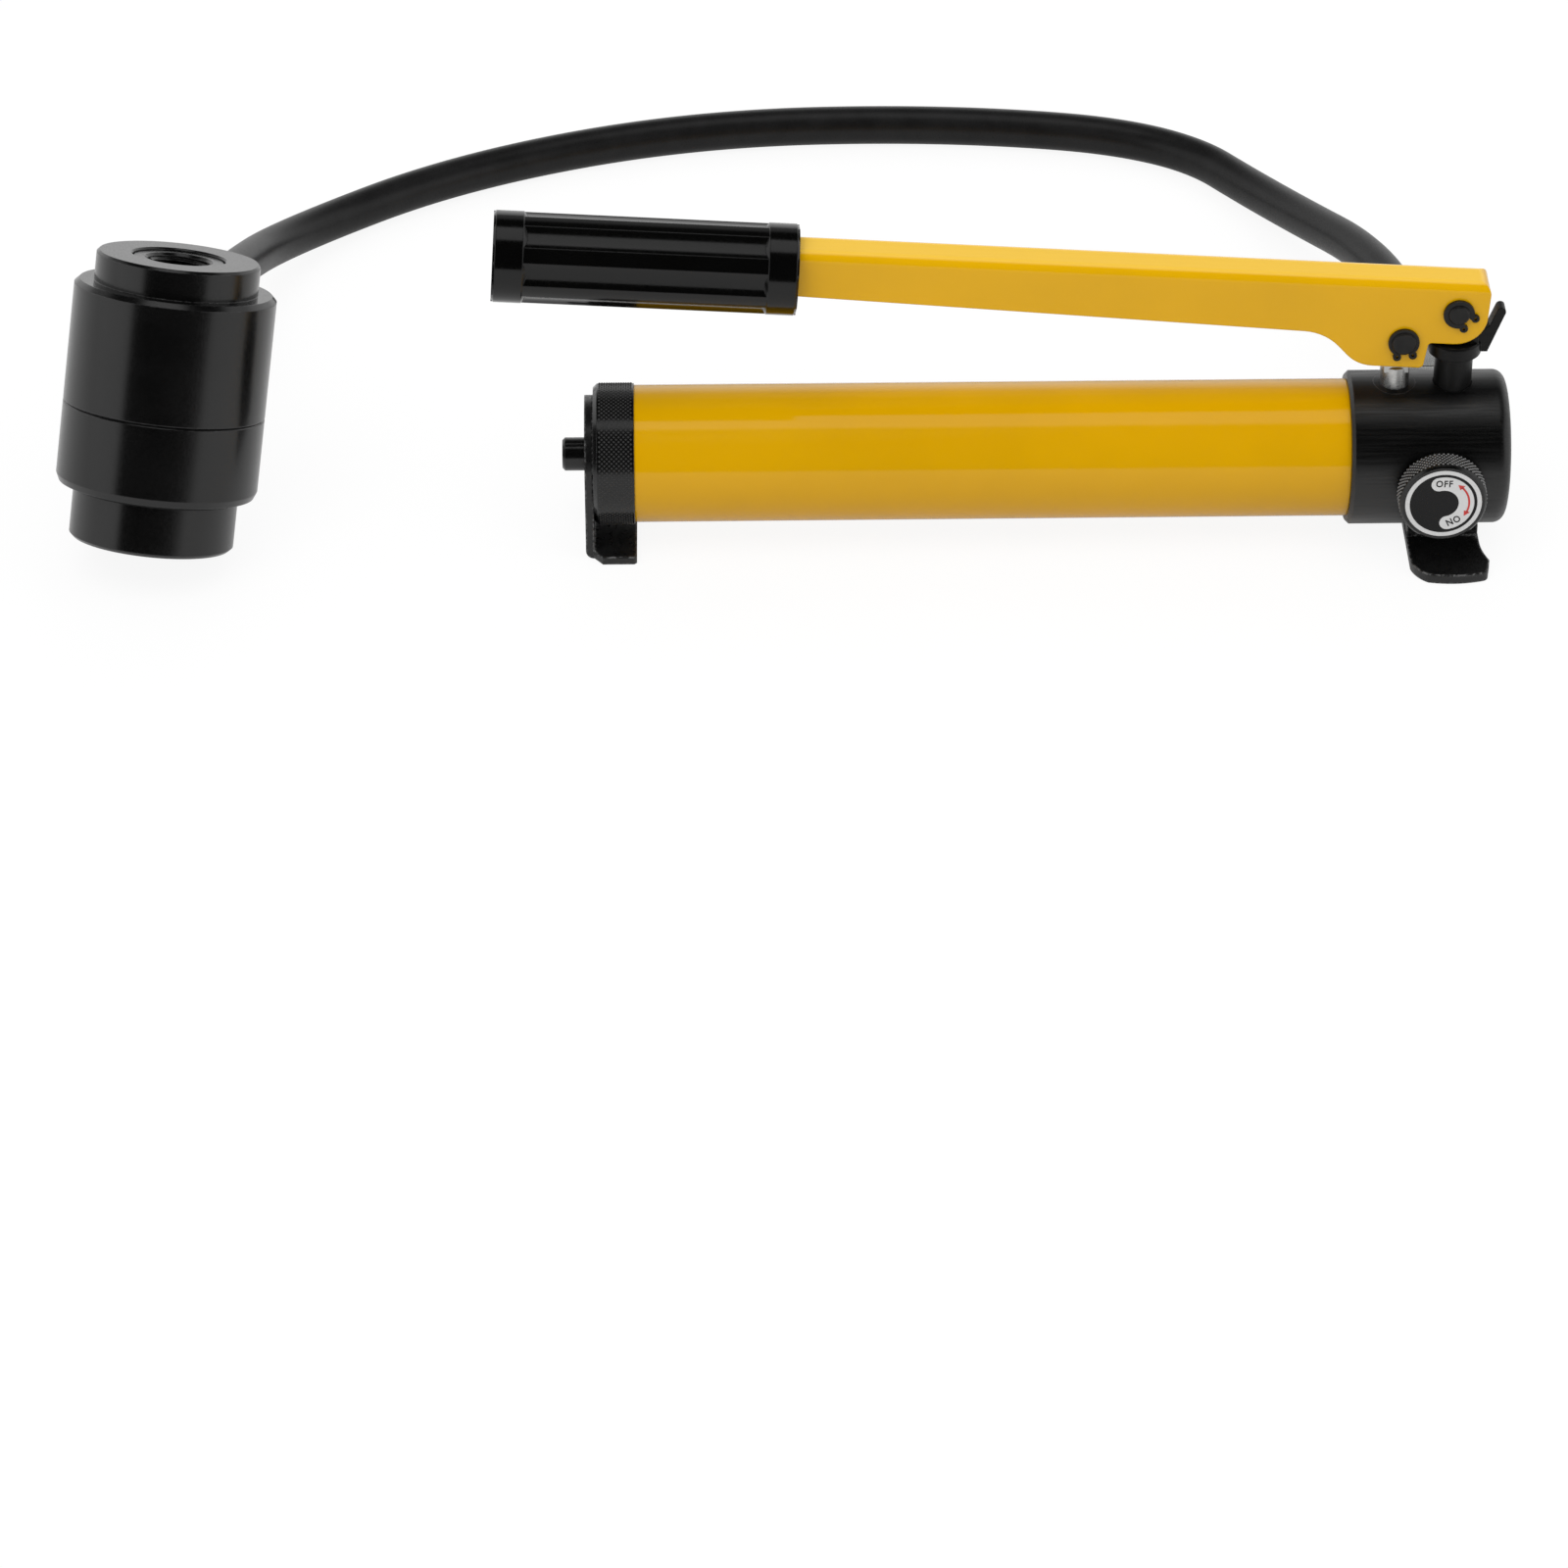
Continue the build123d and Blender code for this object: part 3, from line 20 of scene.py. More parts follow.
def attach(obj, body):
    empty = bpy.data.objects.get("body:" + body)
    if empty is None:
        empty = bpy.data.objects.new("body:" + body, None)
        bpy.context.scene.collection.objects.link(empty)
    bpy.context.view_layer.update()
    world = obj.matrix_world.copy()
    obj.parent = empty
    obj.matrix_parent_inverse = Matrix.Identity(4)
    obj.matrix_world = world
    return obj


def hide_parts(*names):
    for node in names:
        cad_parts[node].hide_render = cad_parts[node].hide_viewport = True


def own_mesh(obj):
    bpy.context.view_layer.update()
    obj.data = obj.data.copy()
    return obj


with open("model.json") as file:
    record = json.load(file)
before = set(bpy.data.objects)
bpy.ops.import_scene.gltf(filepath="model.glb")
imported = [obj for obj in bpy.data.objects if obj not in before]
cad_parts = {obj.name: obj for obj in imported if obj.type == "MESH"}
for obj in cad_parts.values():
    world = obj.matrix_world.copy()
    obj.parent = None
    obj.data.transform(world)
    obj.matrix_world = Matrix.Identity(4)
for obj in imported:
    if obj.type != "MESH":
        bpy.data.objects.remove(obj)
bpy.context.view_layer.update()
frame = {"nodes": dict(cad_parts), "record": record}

log = logging.getLogger("punch_driver")
MM = 0.001

Colour = tuple[float, float, float]
Place = tuple[float, float, float]
Span = tuple[float, float]
Socket = bpy.types.NodeSocket
Item = bpy.types.Object
BMesh = bmesh.types.BMesh
BMVert = bmesh.types.BMVert
BMEdge = bmesh.types.BMEdge


# ---------------------------------------------------------------------------- finishes
# The float layer that marks the tops of a knurl.
PEAK = "peak"
# Values between which a noise pattern is stretched to its full range.
NOISE_SPAN: Span = (0.3, 0.7)
GRAIN_DETAIL = 4.0
BEVEL_SAMPLES = 6
# Patches in which edges are rubbed, and how far the rounded normal turns from the flat one there.
WEAR_SCALE = 900.0
WEAR_PATCHES: Span = (0.42, 0.62)
WEAR_TURN: Span = (0.995, 0.9)
# Upward part of the normal, from where the painted top light starts to where it is full.
PAINTED_TOP_LIGHT_SPAN: Span = (0.75, 0.97)


class ShaderGraph:
    """A node tree with short calls that add nodes and join them."""

    def __init__(self, tree: bpy.types.NodeTree) -> None:
        """Empties the tree.

        Args:
            tree: The node tree of a material or a world.
        """
        self.tree = tree
        tree.nodes.clear()

    def add(
        self, kind: str, inputs: dict[str | int, Any] | None = None, **settings: Any
    ) -> bpy.types.Node:
        """Adds one node.

        Args:
            kind: Blender's name for the node type, without its ShaderNode prefix.
            inputs: Values or output sockets for the node's inputs, by name or number.
            **settings: Properties of the node itself.

        Returns:
            The new node.
        """
        node = self.tree.nodes.new(f"ShaderNode{kind}")
        for name, value in settings.items():
            setattr(node, name, value)
        for name, value in (inputs or {}).items():
            if isinstance(value, Socket):
                self.tree.links.new(value, node.inputs[name])
            else:
                node.inputs[name].default_value = value
        return node

    def math(self, operation: str, *values: Any) -> Socket:
        """Adds a Math node and returns its result.

        Args:
            operation: Blender's name of the operation.
            *values: Numbers or output sockets, in the order of the inputs.

        Returns:
            The result socket.
        """
        node = self.add("Math", dict(enumerate(values)), operation=operation)
        return node.outputs[0]

    def remap(self, value: Socket, span: Span, first: float = 0.0, last: float = 1.0) -> Socket:
        """Maps a value smoothly from one range to another.

        Args:
            value: The socket to map.
            span: Start and end of the input range.
            first: Result at the start.
            last: Result at the end.

        Returns:
            The result socket.
        """
        low, high = span
        node = self.add(
            "MapRange",
            {"Value": value, "From Min": low, "From Max": high, "To Min": first, "To Max": last},
            interpolation_type="SMOOTHSTEP",
        )
        return node.outputs["Result"]

    def blend(self, factor: Socket, first: Any, second: Any) -> Socket:
        """Mixes two colours.

        Args:
            factor: The share of the second.
            first: A colour or the socket of one.
            second: A colour or the socket of one.

        Returns:
            The mixed colour's socket.
        """
        # The colour sockets of a Mix node are 6 and 7, and its colour result is 2.
        node = self.add("Mix", {6: first, 7: second}, data_type="RGBA")
        self.tree.links.new(factor, node.inputs[0])
        return node.outputs[2]

    def noise(self, vector: Socket, scale: float, detail: float = 3.0) -> Socket:
        """Adds a noise texture and returns its grey value.

        Args:
            vector: The coordinates it reads.
            scale: Features per metre.
            detail: Octaves of finer noise.

        Returns:
            The value socket.
        """
        node = self.add("TexNoise", {"Vector": vector, "Scale": scale, "Detail": detail})
        return node.outputs[0]


class Grain(Enum):
    """How the fine texture of a finish runs."""

    EVEN = (1.0, 1.0, 1.0)
    ALONG_X = (0.04, 1.0, 1.0)
    ALONG_Z = (1.0, 1.0, 0.04)


@dataclass(frozen=True)
class Finish:
    """A surface: its colour, gloss, grain, soiling and worn edges.

    Lengths are in metres and scales in features per metre.

    Attributes:
        name: The material's name.
        colour: Its mean colour.
        roughness: Its mean roughness.
        metallic: 1 for bare metal.
        ior: Refractive index, which sets how much it mirrors.
        shade: How far broad patches are darker or lighter, as a share.
        shade_scale: Scale of those patches.
        rough_spread: How far the grain changes the roughness.
        grain: How the grain runs.
        grain_scale: Scale of the grain.
        grain_height: Height of the grain.
        edge: Radius of the soft light on edges.
        wear: How much of the worn colour shows on edges.
        wear_and_glint_colour: Colour where the surface is rubbed; on a knurl's tops it is also a
            painted glint.
        rubbed_and_glint_peaks: Whether a knurl's tops show that colour, which is partly rubbed metal
            and partly a painted glint.
        painted_top_light_colour: Painted light: a lighter colour for faces that look up, standing in
            for the brighter light from above, if any.
    """

    name: str
    colour: Colour
    roughness: float
    metallic: float = 0.0
    ior: float = 1.5
    shade: float = 0.06
    shade_scale: float = 60.0
    rough_spread: float = 0.06
    grain: Grain = Grain.EVEN
    grain_scale: float = 1800.0
    grain_height: float = 0.00001
    edge: float = 0.0003
    wear: float = 0.0
    wear_and_glint_colour: Colour = (0.4, 0.4, 0.4)
    rubbed_and_glint_peaks: bool = False
    painted_top_light_colour: Colour | None = None

    def material(self) -> bpy.types.Material:
        """Makes this finish's material, once.

        Returns:
            The material, shared by all that wear the finish.
        """
        made = bpy.data.materials.get(self.name)
        if made:
            return made
        made = bpy.data.materials.new(self.name)
        made.use_nodes = True
        graph = ShaderGraph(made.node_tree)
        place = graph.add("TexCoord").outputs["Object"]
        dark = tuple(c * (1 - self.shade) for c in self.colour)
        light = tuple(min(1.0, c * (1 + self.shade)) for c in self.colour)
        patches = graph.remap(graph.noise(place, self.shade_scale), NOISE_SPAN)
        colour = graph.blend(patches, (*dark, 1), (*light, 1))
        run = graph.add("Mapping", {"Vector": place, "Scale": self.grain.value}).outputs[0]
        fine = graph.noise(run, self.grain_scale, GRAIN_DETAIL)
        smoothest = max(0.0, self.roughness - self.rough_spread)
        rough = graph.remap(fine, NOISE_SPAN, smoothest, self.roughness + self.rough_spread)
        rounded = graph.add("Bevel", {"Radius": self.edge}, samples=BEVEL_SAMPLES).outputs[0]
        bump = graph.add(
            "Bump",
            {"Height": fine, "Distance": self.grain_height, "Strength": 1.0, "Normal": rounded},
        )
        if self.wear:
            colour = self._worn(graph, colour, rounded, place)
        if self.rubbed_and_glint_peaks:
            # A knurl's tops take the wear colour: partly rubbed metal, partly a painted glint
            # standing in for highlights on the peaks.
            peak = graph.add("Attribute", attribute_name=PEAK).outputs["Fac"]
            colour = graph.blend(peak, colour, (*self.wear_and_glint_colour, 1))
        # Painted light: faces that look up in the piece's own frame get a lighter colour, standing
        # in for the brighter light that falls on them from above.
        if self.painted_top_light_colour:
            normal = graph.add("TexCoord").outputs["Normal"]
            upward = graph.add("SeparateXYZ", {"Vector": normal}).outputs["Z"]
            colour = graph.blend(graph.remap(upward, PAINTED_TOP_LIGHT_SPAN), colour, (*self.painted_top_light_colour, 1))
        surface = graph.add(
            "BsdfPrincipled",
            {
                "Base Color": colour,
                "Roughness": rough,
                "Metallic": self.metallic,
                "IOR": self.ior,
                "Normal": bump.outputs[0],
            },
        )
        graph.add("OutputMaterial", {"Surface": surface.outputs[0]})
        return made

    def _worn(
        self,
        graph: ShaderGraph,
        colour: Socket,
        rounded: Socket,
        place: Socket,
    ) -> Socket:
        """Lightens the colour where an edge has been rubbed.

        Args:
            graph: The material's graph.
            colour: The colour away from edges.
            rounded: The normal that the rounded edge has.
            place: The coordinates that the patches read.

        Returns:
            The colour with its worn edges.
        """
        flat = graph.add("NewGeometry").outputs["Normal"]
        turn = graph.add("VectorMath", {0: flat, 1: rounded}, operation="DOT_PRODUCT")
        rubbed = graph.remap(turn.outputs["Value"], WEAR_TURN, 0.0, self.wear)
        patches = graph.remap(graph.noise(place, WEAR_SCALE, GRAIN_DETAIL), WEAR_PATCHES)
        amount = graph.math("MULTIPLY", rubbed, patches)
        return graph.blend(amount, colour, (*self.wear_and_glint_colour, 1))


YELLOW_ENAMEL = Finish(
    "yellow_enamel", (0.7, 0.37, 0.0004), 0.1, ior=1.38, rough_spread=0.03,
    shade=0.03, shade_scale=25.0, grain_scale=700.0, grain_height=0.000006, edge=0.0006,
    wear=0.25, wear_and_glint_colour=(0.5, 0.26, 0.02),
)
# The lever's top face carries a painted highlight: a paler yellow that stands in for the light from
# above, while its sides keep the plain yellow.
LEVER_ENAMEL = replace(
    YELLOW_ENAMEL, name="lever_enamel", colour=(0.76, 0.41, 0.0008), wear=0.0,
    painted_top_light_colour=(0.9, 0.56, 0.06),
)
BLACK_OXIDE = Finish(
    "black_oxide_steel", (0.0026, 0.0026, 0.0026), 0.2, shade=0.25, shade_scale=90.0,
    rough_spread=0.05, grain_scale=2200.0, grain_height=0.000004, edge=0.0004,
    wear=0.35, wear_and_glint_colour=(0.12, 0.12, 0.12),
)
SATIN_OXIDE = Finish(
    "satin_black_steel", (0.001, 0.001, 0.001), 0.37, ior=1.53, shade=0.25, shade_scale=90.0,
    rough_spread=0.08, grain=Grain.ALONG_X, grain_scale=1500.0, grain_height=0.000004, edge=0.0004,
    wear=0.3, wear_and_glint_colour=(0.1, 0.1, 0.1),
)
DULL_OXIDE = replace(SATIN_OXIDE, name="dull_black_steel", colour=(0.003, 0.003, 0.003), ior=1.3)
CUT_PLATE = Finish(
    "black_painted_plate", (0.006, 0.006, 0.006), 0.34, shade=0.3, shade_scale=160.0,
    rough_spread=0.08, grain_scale=700.0, grain_height=0.00002, edge=0.0011,
    wear=0.85, wear_and_glint_colour=(0.22, 0.22, 0.22),
)
KNURLED_STEEL = Finish(
    "knurled_black_steel", (0.005, 0.005, 0.005), 0.36, ior=1.32, shade=0.3, shade_scale=300.0,
    grain_scale=2500.0, grain_height=0.000005, edge=0.00012,
    rubbed_and_glint_peaks=True, wear_and_glint_colour=(0.05, 0.05, 0.05),
)
# The knob's knurl tops are light grey: partly rubbed metal, partly a painted glint standing in for
# the highlights on its peaks.
RUBBED_GLINT_KNURL = replace(KNURLED_STEEL, name="rubbed_glint_knurl_steel", wear_and_glint_colour=(0.3, 0.3, 0.3))
GROUND_STEEL = Finish(
    "ground_steel", (0.56, 0.56, 0.55), 0.32, metallic=1.0, shade=0.05, grain=Grain.ALONG_X,
    grain_scale=2600.0, grain_height=0.000004, edge=0.0003,
)
SPRING_WIRE = Finish(
    "spring_wire", (0.34, 0.34, 0.35), 0.3, metallic=1.0,
    grain_scale=3000.0, grain_height=0.000004, edge=0.0001,
)
PHOSPHATED_STEEL = Finish(
    "phosphated_steel", (0.0075, 0.007, 0.0065), 0.4, ior=1.35, shade=0.25, shade_scale=400.0,
    grain_scale=4000.0, grain_height=0.000006, edge=0.00025,
    wear=0.5, wear_and_glint_colour=(0.14, 0.12, 0.1),
)
ZINC_PLATE = Finish(
    "zinc_plated_steel", (0.6, 0.61, 0.6), 0.3, metallic=1.0, shade=0.1, shade_scale=250.0,
    grain=Grain.ALONG_Z, grain_scale=2400.0, grain_height=0.000005, edge=0.0004,
)
HOSE_COVER = Finish(
    "black_hose_cover", (0.009, 0.009, 0.0092), 0.34, ior=1.3, shade=0.2, shade_scale=120.0,
    rough_spread=0.08, grain_scale=3500.0, grain_height=0.00002, edge=0.0001,
)
SEAL_RUBBER = Finish(
    "black_seal_rubber", (0.015, 0.015, 0.015), 0.55, shade=0.2,
    grain_scale=3000.0, grain_height=0.00001,
)
GRIP_PLASTIC = Finish(
    "gloss_black_plastic", (0.0016, 0.0016, 0.0015), 0.13, ior=1.4, shade=0.15, rough_spread=0.04,
    grain_scale=900.0, grain_height=0.000005, edge=0.0004,
)
DIAL_BLACK = Finish(
    "dial_black", (0.004, 0.004, 0.0042), 0.3, ior=1.32, shade=0.1,
    grain_scale=3000.0, grain_height=0.000003,
)
DIAL_SILVER = Finish(
    "dial_silver", (0.66, 0.66, 0.66), 0.35, shade=0.03, grain=Grain.ALONG_X, grain_scale=3000.0,
    grain_height=0.000003, edge=0.00003,
)
DIAL_RED = Finish("dial_red", (0.55, 0.035, 0.03), 0.4, shade=0.05, edge=0.00003)
DIAL_INK = Finish("dial_ink", (0.004, 0.004, 0.004), 0.5, ior=1.3, shade=0.05, edge=0.00003)

# The finish of each material slot, and of the nodes that differ from their slot.
SLOT_FINISHES: dict[str, Finish] = {
    "yellow_paint": YELLOW_ENAMEL,
    "black_steel": BLACK_OXIDE,
    "bright_steel": GROUND_STEEL,
    "spring_steel": SPRING_WIRE,
    "dark_steel": PHOSPHATED_STEEL,
    "zinc_plate": ZINC_PLATE,
    "hose_rubber": HOSE_COVER,
    "seal_rubber": SEAL_RUBBER,
    "grip_plastic": GRIP_PLASTIC,
    "dial_face": DIAL_BLACK,
}
NODE_FINISHES: dict[str, Finish] = {
    "rear_foot": CUT_PLATE,
    "front_foot": CUT_PLATE,
    "head_block": SATIN_OXIDE,
    "fulcrum_post": DULL_OXIDE,
    "lever": LEVER_ENAMEL,
}


# ---------------------------------------------------------------------------- mesh tools
# Vertices nearer than this are one.
SAME_PLACE = 1e-7


def piece(
    name: str, mesh: BMesh, place: Matrix, finish: Finish, body: str
) -> Item:
    """Turns a bmesh into a piece that rides on a body.

    Args:
        name: The piece's name.
        mesh: The shape, freed here.
        place: Where the shape goes; it is applied to the mesh.
        finish: The finish it wears.
        body: The body it rides on.

    Returns:
        The new object, at the origin.
    """
    bmesh.ops.remove_doubles(mesh, verts=mesh.verts, dist=SAME_PLACE)
    bmesh.ops.recalc_face_normals(mesh, faces=mesh.faces)
    mesh.transform(place)
    data = bpy.data.meshes.new(name)
    mesh.to_mesh(data)
    mesh.free()
    data.materials.append(finish.material())
    made = bpy.data.objects.new(name, data)
    bpy.context.collection.objects.link(made)
    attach(made, body)
    return made


def thicken(mesh: BMesh, height: float) -> None:
    """Gives a flat face region, drawn in the XY plane, a thickness upwards.

    Args:
        mesh: The mesh to thicken.
        height: How far it rises along Z.
    """
    raised = bmesh.ops.extrude_face_region(mesh, geom=mesh.faces[:])
    verts = [item for item in raised["geom"] if isinstance(item, BMVert)]
    bmesh.ops.translate(mesh, verts=verts, vec=(0, 0, height))


@dataclass
class KnurledBand:
    """A band of diamond knurl wrapped round a turned part.

    The band is made along Z from its base, and its peaks stand over the part's own surface.

    Attributes:
        name: The piece's name.
        radius: Radius of the part's own surface.
        length: Length of the band.
        teeth: Peaks round the band.
        rows: Rows of facets along it.
        rise: Height of the peaks over the valleys.
        place: Where the band goes.
        body: The body it rides on.
        finish: The finish it wears.
        sunk: Share of the rise by which the valleys lie under the surface.
    """

    name: str
    radius: float
    length: float
    teeth: int
    rows: int
    rise: float
    place: Matrix
    body: str
    finish: Finish
    sunk: float = 0.35

    def build(self) -> Item:
        """Makes the band.

        Returns:
            The knurled piece.
        """
        mesh = bmesh.new()
        peak = mesh.verts.layers.float.new(PEAK)
        valley = self.radius - self.sunk * self.rise
        bmesh.ops.create_circle(mesh, segments=2 * self.teeth, radius=valley)
        rim = mesh.edges[:]
        step = self.length / self.rows
        for _ in range(self.rows):
            grown = bmesh.ops.extrude_edge_only(mesh, edges=rim)["geom"]
            verts = [item for item in grown if isinstance(item, BMVert)]
            edges = [item for item in grown if isinstance(item, BMEdge)]
            rim = [edge for edge in edges if set(edge.verts) <= set(verts)]
            bmesh.ops.translate(mesh, verts=verts, vec=(0, 0, step))
        high = {vert for vert in mesh.verts if self._is_peak(vert, step)}
        for vert in high:
            lift = 1 + self.rise / valley
            vert.co.x *= lift
            vert.co.y *= lift
            vert[peak] = 1.0
        for face in mesh.faces[:]:
            corners = face.verts[:]
            first = 1 if corners[0] in high or corners[2] in high else 0
            bmesh.utils.face_split(face, corners[first], corners[first + 2])
        return piece(self.name, mesh, self.place, self.finish, self.body)

    def _is_peak(self, vert: BMVert, step: float) -> bool:
        """Tells whether a vertex is the top of a diamond.

        Args:
            vert: A vertex of the band, still on its plain cylinder.
            step: Height of one row.

        Returns:
            True for every other vertex, and never at the band's two ends.
        """
        row = round(vert.co.z / step)
        turn = Vector((1, 0)).angle_signed(Vector((vert.co.x, vert.co.y)), 0)
        column = round(turn / (pi / self.teeth))
        return 0 < row < self.rows and (row + column) % 2 == 0


# ---------------------------------------------------------------------------- release dial
# Degrees in a radian.
DEGREES = 57.3
# Corners of a letter nearer than this are one, before the letter gets its size.
FONT_SAME_PLACE = 1e-5


@dataclass
class ReleaseDial:
    """The release knob's print: a ring, a crescent, the words OFF and ON, and a double arrow.

    Angles are in degrees, from the right of the dial and anticlockwise.
    """

    centre: Vector
    radius: float = 11.65 * MM
    ring: float = 1.4 * MM
    ring_inset: float = 0.05 * MM
    crescent_inner: float = 4.6 * MM
    crescent_outer: float = 9.3 * MM
    crescent_start: float = 104.0
    crescent_end: float = -78.0
    off_place: Span = (-0.1 * MM, 7.0 * MM)
    on_place: Span = (3.3 * MM, -6.1 * MM)
    on_turn: float = 206.0
    letter_height: float = 2.35 * MM
    letter_squeeze: float = 0.86
    letter_weight: float = 0.02
    letter_gap: float = 1.14
    letter_steps: int = 4
    arrow_radius: float = 7.75 * MM
    arrow_width: float = 0.6 * MM
    arrow_head: float = 2.1 * MM
    arrow_start: float = 58.0
    arrow_end: float = -35.0
    arrow_shaft_start: float = 0.8
    arrow_barb_reach: float = 0.48
    arrow_barb_sweep: float = 0.1
    film: float = 0.03 * MM
    band_steps: int = 96
    end_steps: int = 32

    def build(self) -> list[Item]:
        """Makes every printed piece.

        Returns:
            The pieces, which ride on the release valve.
        """
        return [
            self._print("dial_ring", self._ring(), DIAL_SILVER, 1),
            self._print("dial_crescent", self._crescent(), DIAL_SILVER, 1),
            self._print("dial_arrow", self._arrow(), DIAL_RED, 2),
            self._word("OFF", self.off_place, 0.0),
            self._word("ON", self.on_place, self.on_turn),
        ]

    def _face(self, layer: int) -> Matrix:
        """Returns the place of a film layer: X right and Y up on the dial, Z out of it."""
        turn = Matrix.Rotation(pi / 2, 4, "X")
        return Matrix.Translation(self.centre - Vector((0, (layer - 1) * self.film, 0))) @ turn

    def _print(self, name: str, mesh: BMesh, finish: Finish, layer: int) -> Item:
        """Thickens a flat drawing into a film and places it.

        Args:
            name: The piece's name.
            mesh: The drawing in the XY plane.
            finish: The ink.
            layer: 1 for films on the dial, 2 for films on those.

        Returns:
            The printed piece.
        """
        thicken(mesh, self.film)
        return piece(name, mesh, self._face(layer), finish, "release_valve")

    def _band(
        self, mesh: BMesh, inner: float, outer: float, start: float, end: float
    ) -> None:
        """Adds an arc band to a drawing.

        Args:
            mesh: The drawing.
            inner: Inner radius.
            outer: Outer radius.
            start: First angle in degrees.
            end: Last angle in degrees.
        """
        turn = Matrix.Rotation(radians(start), 3, "Z")
        ends = [mesh.verts.new(turn @ Vector((r, 0, 0))) for r in (inner, outer)]
        edge = mesh.edges.new(ends)
        bmesh.ops.spin(
            mesh, geom=[*ends, edge], cent=(0, 0, 0), axis=(0, 0, 1),
            angle=radians(end - start), steps=self.band_steps, use_merge=abs(end - start) == 360,
        )

    def _ring(self) -> BMesh:
        """Draws the outer ring.

        Returns:
            The drawing.
        """
        mesh = bmesh.new()
        self._band(mesh, self.radius - self.ring, self.radius - self.ring_inset, 0, 360)
        return mesh

    def _crescent(self) -> BMesh:
        """Draws the crescent with its two round ends.

        Returns:
            The drawing.
        """
        mesh = bmesh.new()
        inner, outer = self.crescent_inner, self.crescent_outer
        self._band(mesh, inner, outer, self.crescent_start, self.crescent_end)
        middle = (inner + outer) / 2
        half = (outer - inner) / 2
        for angle, way in ((self.crescent_start, 1), (self.crescent_end, -1)):
            turn = Matrix.Rotation(radians(angle), 3, "Z")
            ends = [mesh.verts.new(turn @ Vector((middle + r, 0, 0))) for r in (0, half)]
            edge = mesh.edges.new(ends)
            bmesh.ops.spin(
                mesh, geom=[*ends, edge], cent=turn @ Vector((middle, 0, 0)), axis=(0, 0, 1),
                angle=way * pi, steps=self.end_steps,
            )
        bmesh.ops.remove_doubles(mesh, verts=mesh.verts, dist=SAME_PLACE)
        self._face_up(mesh)
        return mesh

    def _arrow(self) -> BMesh:
        """Draws the curved double arrow.

        Returns:
            The drawing.
        """
        mesh = bmesh.new()
        middle, half = self.arrow_radius, self.arrow_width / 2
        inset = self.arrow_shaft_start * self.arrow_head / middle * DEGREES
        first, last = self.arrow_start - inset, self.arrow_end + inset
        self._band(mesh, middle - half, middle + half, first, last)
        reach = self.arrow_barb_reach * self.arrow_head
        for tip, foot in ((self.arrow_start, first), (self.arrow_end, last)):
            barb = foot - self.arrow_barb_sweep * (tip - foot)
            corners = ((middle, tip), (middle - reach, barb), (middle + reach, barb))
            mesh.faces.new([mesh.verts.new(self._spot(*corner)) for corner in corners])
        self._face_up(mesh)
        return mesh

    def _spot(self, radius: float, angle: float) -> Place:
        """Returns the point at a radius and an angle in degrees."""
        return radius * cos(radians(angle)), radius * sin(radians(angle)), 0

    def _face_up(self, mesh: BMesh) -> None:
        """Turns every face of a drawing towards +Z."""
        mesh.normal_update()
        bmesh.ops.reverse_faces(mesh, faces=[face for face in mesh.faces if face.normal.z < 0])

    def _word(self, text: str, at: Span, turn: float) -> Item:
        """Prints a word.

        Args:
            text: The word.
            at: Its middle on the dial.
            turn: Its turn in degrees.

        Returns:
            The printed piece.
        """
        curve = bpy.data.curves.new(f"dial_{text.lower()}", "FONT")
        curve.body = text
        curve.resolution_u = self.letter_steps
        curve.offset = self.letter_weight
        curve.space_character = self.letter_gap
        holder = bpy.data.objects.new("word", curve)
        bpy.context.collection.objects.link(holder)
        bpy.context.view_layer.update()
        outline = bpy.data.meshes.new_from_object(holder)
        mesh = bmesh.new()
        mesh.from_mesh(outline)
        bpy.data.objects.remove(holder)
        bpy.data.meshes.remove(outline)
        bmesh.ops.remove_doubles(mesh, verts=mesh.verts, dist=FONT_SAME_PLACE)
        low = Vector([min(v.co[i] for v in mesh.verts) for i in (0, 1)])
        high = Vector([max(v.co[i] for v in mesh.verts) for i in (0, 1)])
        middle, scale = (low + high) / 2, self.letter_height / (high.y - low.y)
        mesh.transform(
            Matrix.Translation((*at, 0))
            @ Matrix.Rotation(radians(turn), 4, "Z")
            @ Matrix.Diagonal((scale * self.letter_squeeze, scale, scale, 1))
            @ Matrix.Translation((-middle.x, -middle.y, 0))
        )
        return self._print(f"dial_{text.lower()}", mesh, DIAL_INK, 2)


